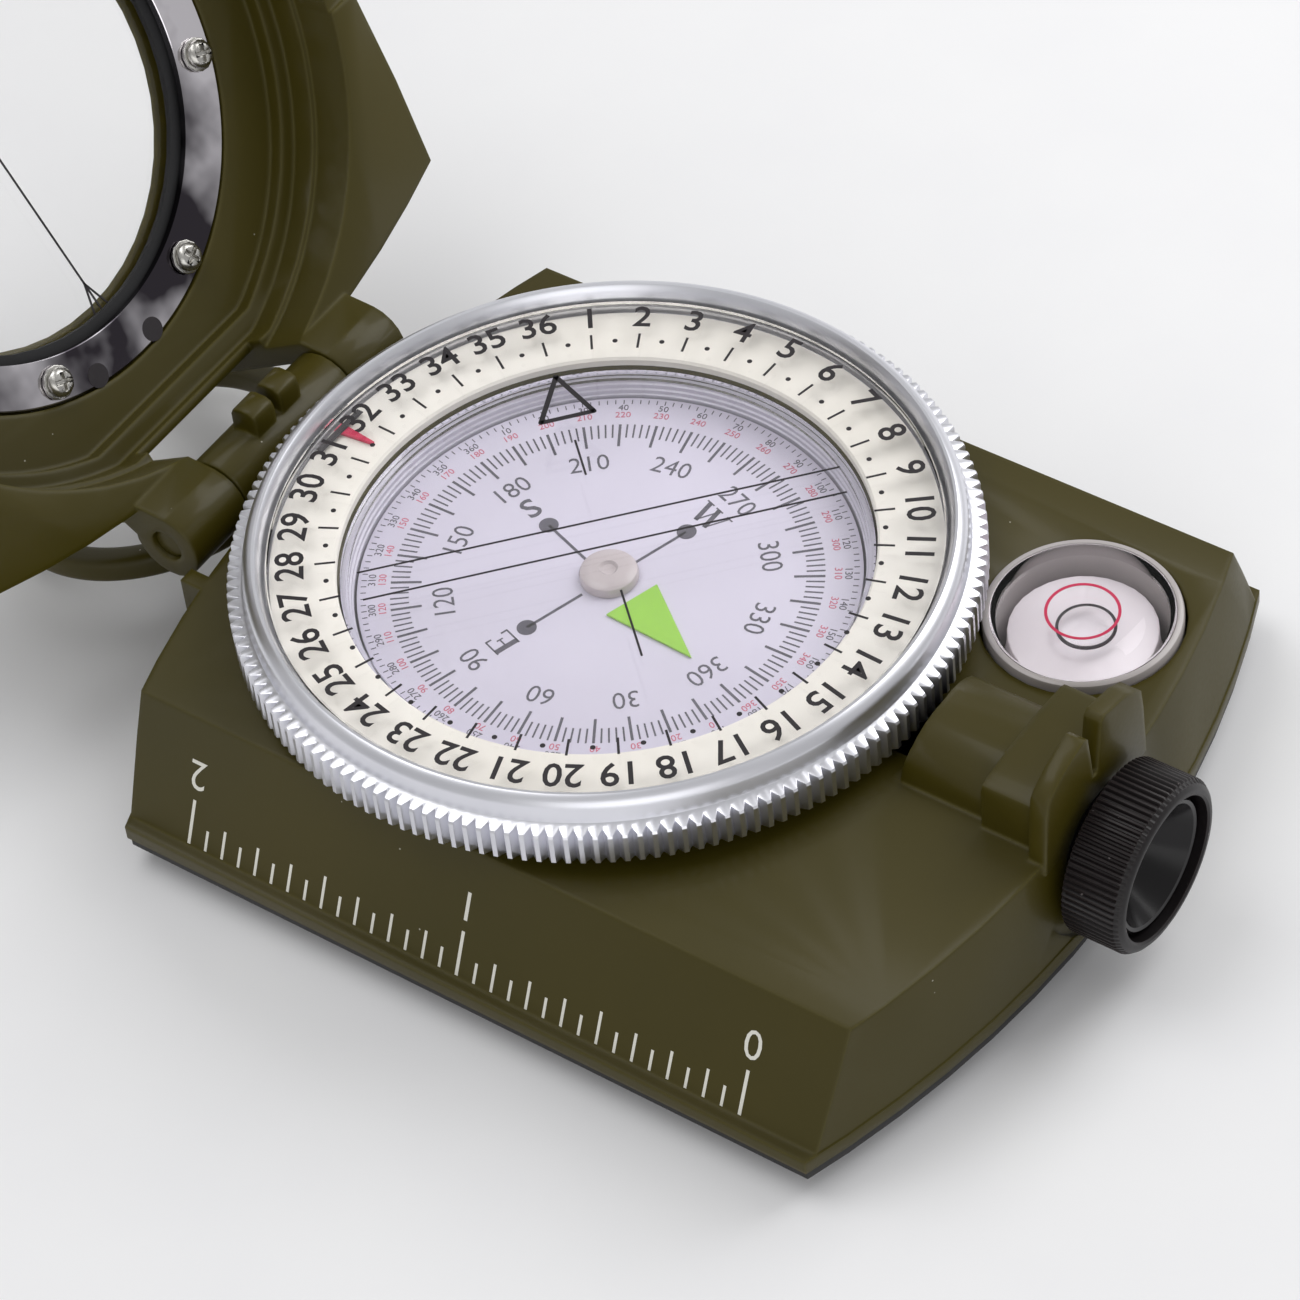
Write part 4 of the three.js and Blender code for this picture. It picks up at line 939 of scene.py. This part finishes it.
# %% Lid window
PANE_LOW, PANE_TOP = 10.55, 11.85
lid_spot = FROM_CLOSED @ Matrix.Translation((LID_CENTRE, 0, 0))
lathe("window_clear", [
    (0, PANE_LOW), (20.3, PANE_LOW), (20.4, PANE_LOW + 0.1), (20.4, PANE_TOP - 0.1),
    (20.3, PANE_TOP), (0, PANE_TOP),
], clear_glass, "lid", "clear", "window_pane", segments=128, place=lid_spot)
RING_LOW, RING_TOP = 8.95, 9.75
lathe("window_ring", [
    (19.65, RING_LOW + 0.05), (19.72, RING_LOW), (23.2, RING_LOW), (23.3, RING_LOW + 0.07),
    (23.3, RING_TOP - 0.05), (23.22, RING_TOP), (19.72, RING_TOP), (19.65, RING_TOP - 0.07),
], painted_reflection_plate, "lid", "retainer_chrome", "window_retainer", segments=160, place=lid_spot)
# Two black discs on the ring paint the shade in its notches.
NOTCH_TURNS = (175, 192)
NOTCH_REACH = 22.6
for number, turn in enumerate(NOTCH_TURNS):
    spot = lid_spot @ Matrix.Rotation(math.radians(turn), 4, "Z") @ Matrix.Translation((NOTCH_REACH, 0, 0))
    lathe(f"notch_shade_{number}", [
        (0, RING_LOW - 0.02), (1.0, RING_LOW - 0.02), (1.0, RING_LOW + 0.2), (0, RING_LOW + 0.2),
    ], ink_black, "lid", "black_rubber", segments=40, place=spot)


def closed_to_open(point_u, point_v, height_w):
    return FROM_CLOSED @ Matrix.Translation((point_u, point_v, height_w))


bm = bmesh.new()
HAIR = 0.14
hair_low = PANE_LOW - 0.13
bar(bm, 34.2, HAIR, 0.12, closed_to_open(LID_CENTRE + 0.8, 0, hair_low))
fork_root = LID_CENTRE - 16.3
for side in (-1, 1):
    turn = Matrix.Rotation(side * math.radians(18), 4, "Z")
    prong = closed_to_open(fork_root, 0, hair_low) @ turn @ Matrix.Translation((-1.35, 0, 0))
    bar(bm, 2.9, HAIR, 0.12, prong)
bar(bm, 2.9, HAIR, 0.12, closed_to_open(fork_root - 1.35, 0, hair_low))
piece("hair_line", bm, ink_black, "lid", "clear")

# %% [markdown]
# The thumb ring is a cast loop with rounded edges and a short tang to its eye.

# %% Thumb ring
RING_AXIS = axis_point("thumb_ring_hinge")
RING_SLOPE = math.radians(12)
RING_SPOT = Matrix.Translation(RING_AXIS) @ Matrix.Rotation(-RING_SLOPE, 4, "Y")
LOOP_INNER, LOOP_OUTER, LOOP_HALF, LOOP_REACH = 11.1, 13.4, 1.1, 14.9


def loop_section(soft=0.55, steps=4):
    corners = [
        (LOOP_INNER + soft, -LOOP_HALF + soft, 180), (LOOP_OUTER - soft, -LOOP_HALF + soft, 270),
        (LOOP_OUTER - soft, LOOP_HALF - soft, 0), (LOOP_INNER + soft, LOOP_HALF - soft, 90),
    ]
    points = []
    for r, z, start in corners:
        for step in range(steps + 1):
            angle = math.radians(start + 90 * step / steps)
            points.append((r + soft * math.cos(angle), z + soft * math.sin(angle)))
    return points


bm = bmesh.new()
spin(bm, loop_section(), 160, RING_SPOT @ Matrix.Translation((-LOOP_REACH, 0, 0)))
tang_from, tang_to = -LOOP_REACH + LOOP_INNER + 1.0, -1.0
tang = Matrix.Translation(((tang_from + tang_to) / 2, 0, -0.98))
bar(bm, tang_to - tang_from, 5.0, 1.96, RING_SPOT @ tang)
spin(bm, [(0.78, -2.6), (1.35, -2.6), (1.55, -2.4), (1.55, 2.4), (1.35, 2.6), (0.78, 2.6)], 40,
     RING_SPOT @ Matrix.Rotation(math.pi / 2, 4, "X"))
piece("thumb_loop", bm, olive_paint, "thumb_ring", "olive_paint", "thumb_ring")

# %% [markdown]
# The inch scale is printed in white on the sloping ruler side. The marks stand on one line near
# the foot of the slope, in five lengths, and the three numbers read from the other side.

# %% Inch scale
SIDE_SLOPE = math.radians(24.8)
SIDE_TOP_Y = -26.9
INCH = 25.4
ZERO_X = 32.05
TICK_FOOT = 4.42
TICK_TOPS = {16: 7.88, 8: 6.95, 4: 6.6, 2: 6.6, 1: 6.0}


def on_side(x, z):
    """A place on the ruler side: local X along the scale, local Y up the slope, local Z outwards."""
    y = SIDE_TOP_Y - (TOP_FACE - z) * math.tan(SIDE_SLOPE)
    axes = Matrix((
        (1, 0, 0),
        (0, math.sin(SIDE_SLOPE), -math.cos(SIDE_SLOPE)),
        (0, math.cos(SIDE_SLOPE), math.sin(SIDE_SLOPE)),
    ))
    return Matrix.Translation((x, y, z)) @ axes.to_4x4()


bm = bmesh.new()
for sixteenth in range(33):
    step = next(size for size in (16, 8, 4, 2, 1) if sixteenth % size == 0)
    top = TICK_TOPS[step]
    length = (top - TICK_FOOT) / math.cos(SIDE_SLOPE)
    bar(bm, 0.28 if step == 16 else 0.24, length, PRINT,
        on_side(ZERO_X - sixteenth * INCH / 16, (top + TICK_FOOT) / 2))
for inch in range(3):
    upside_down = Matrix.Rotation(math.pi, 4, "Z")
    stamp(bm, str(inch), 2.6, on_side(ZERO_X - inch * INCH, 9.95) @ upside_down, weight=-0.004, stretch=0.95)
piece("inch_scale", bm, ink_white, "base", "olive_paint")

# %% [markdown]
# The floor is a wide pale sheet under the foot of the compass.

# %% Floor
bpy.ops.mesh.primitive_plane_add(size=6, location=(0, 0, 0))
floor = bpy.context.object
floor.name = "floor"
floor.data.materials.append(surface(
    "pale_paper", srgb(244, 244, 245), srgb(240, 240, 242), 0.85, grain=1200, depth=0.00002, strength=0.1)[0])
floor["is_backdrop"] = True

# %% Finish
low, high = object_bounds()
print("visual box", [round(v / MM, 2) for v in (*low, *high)])
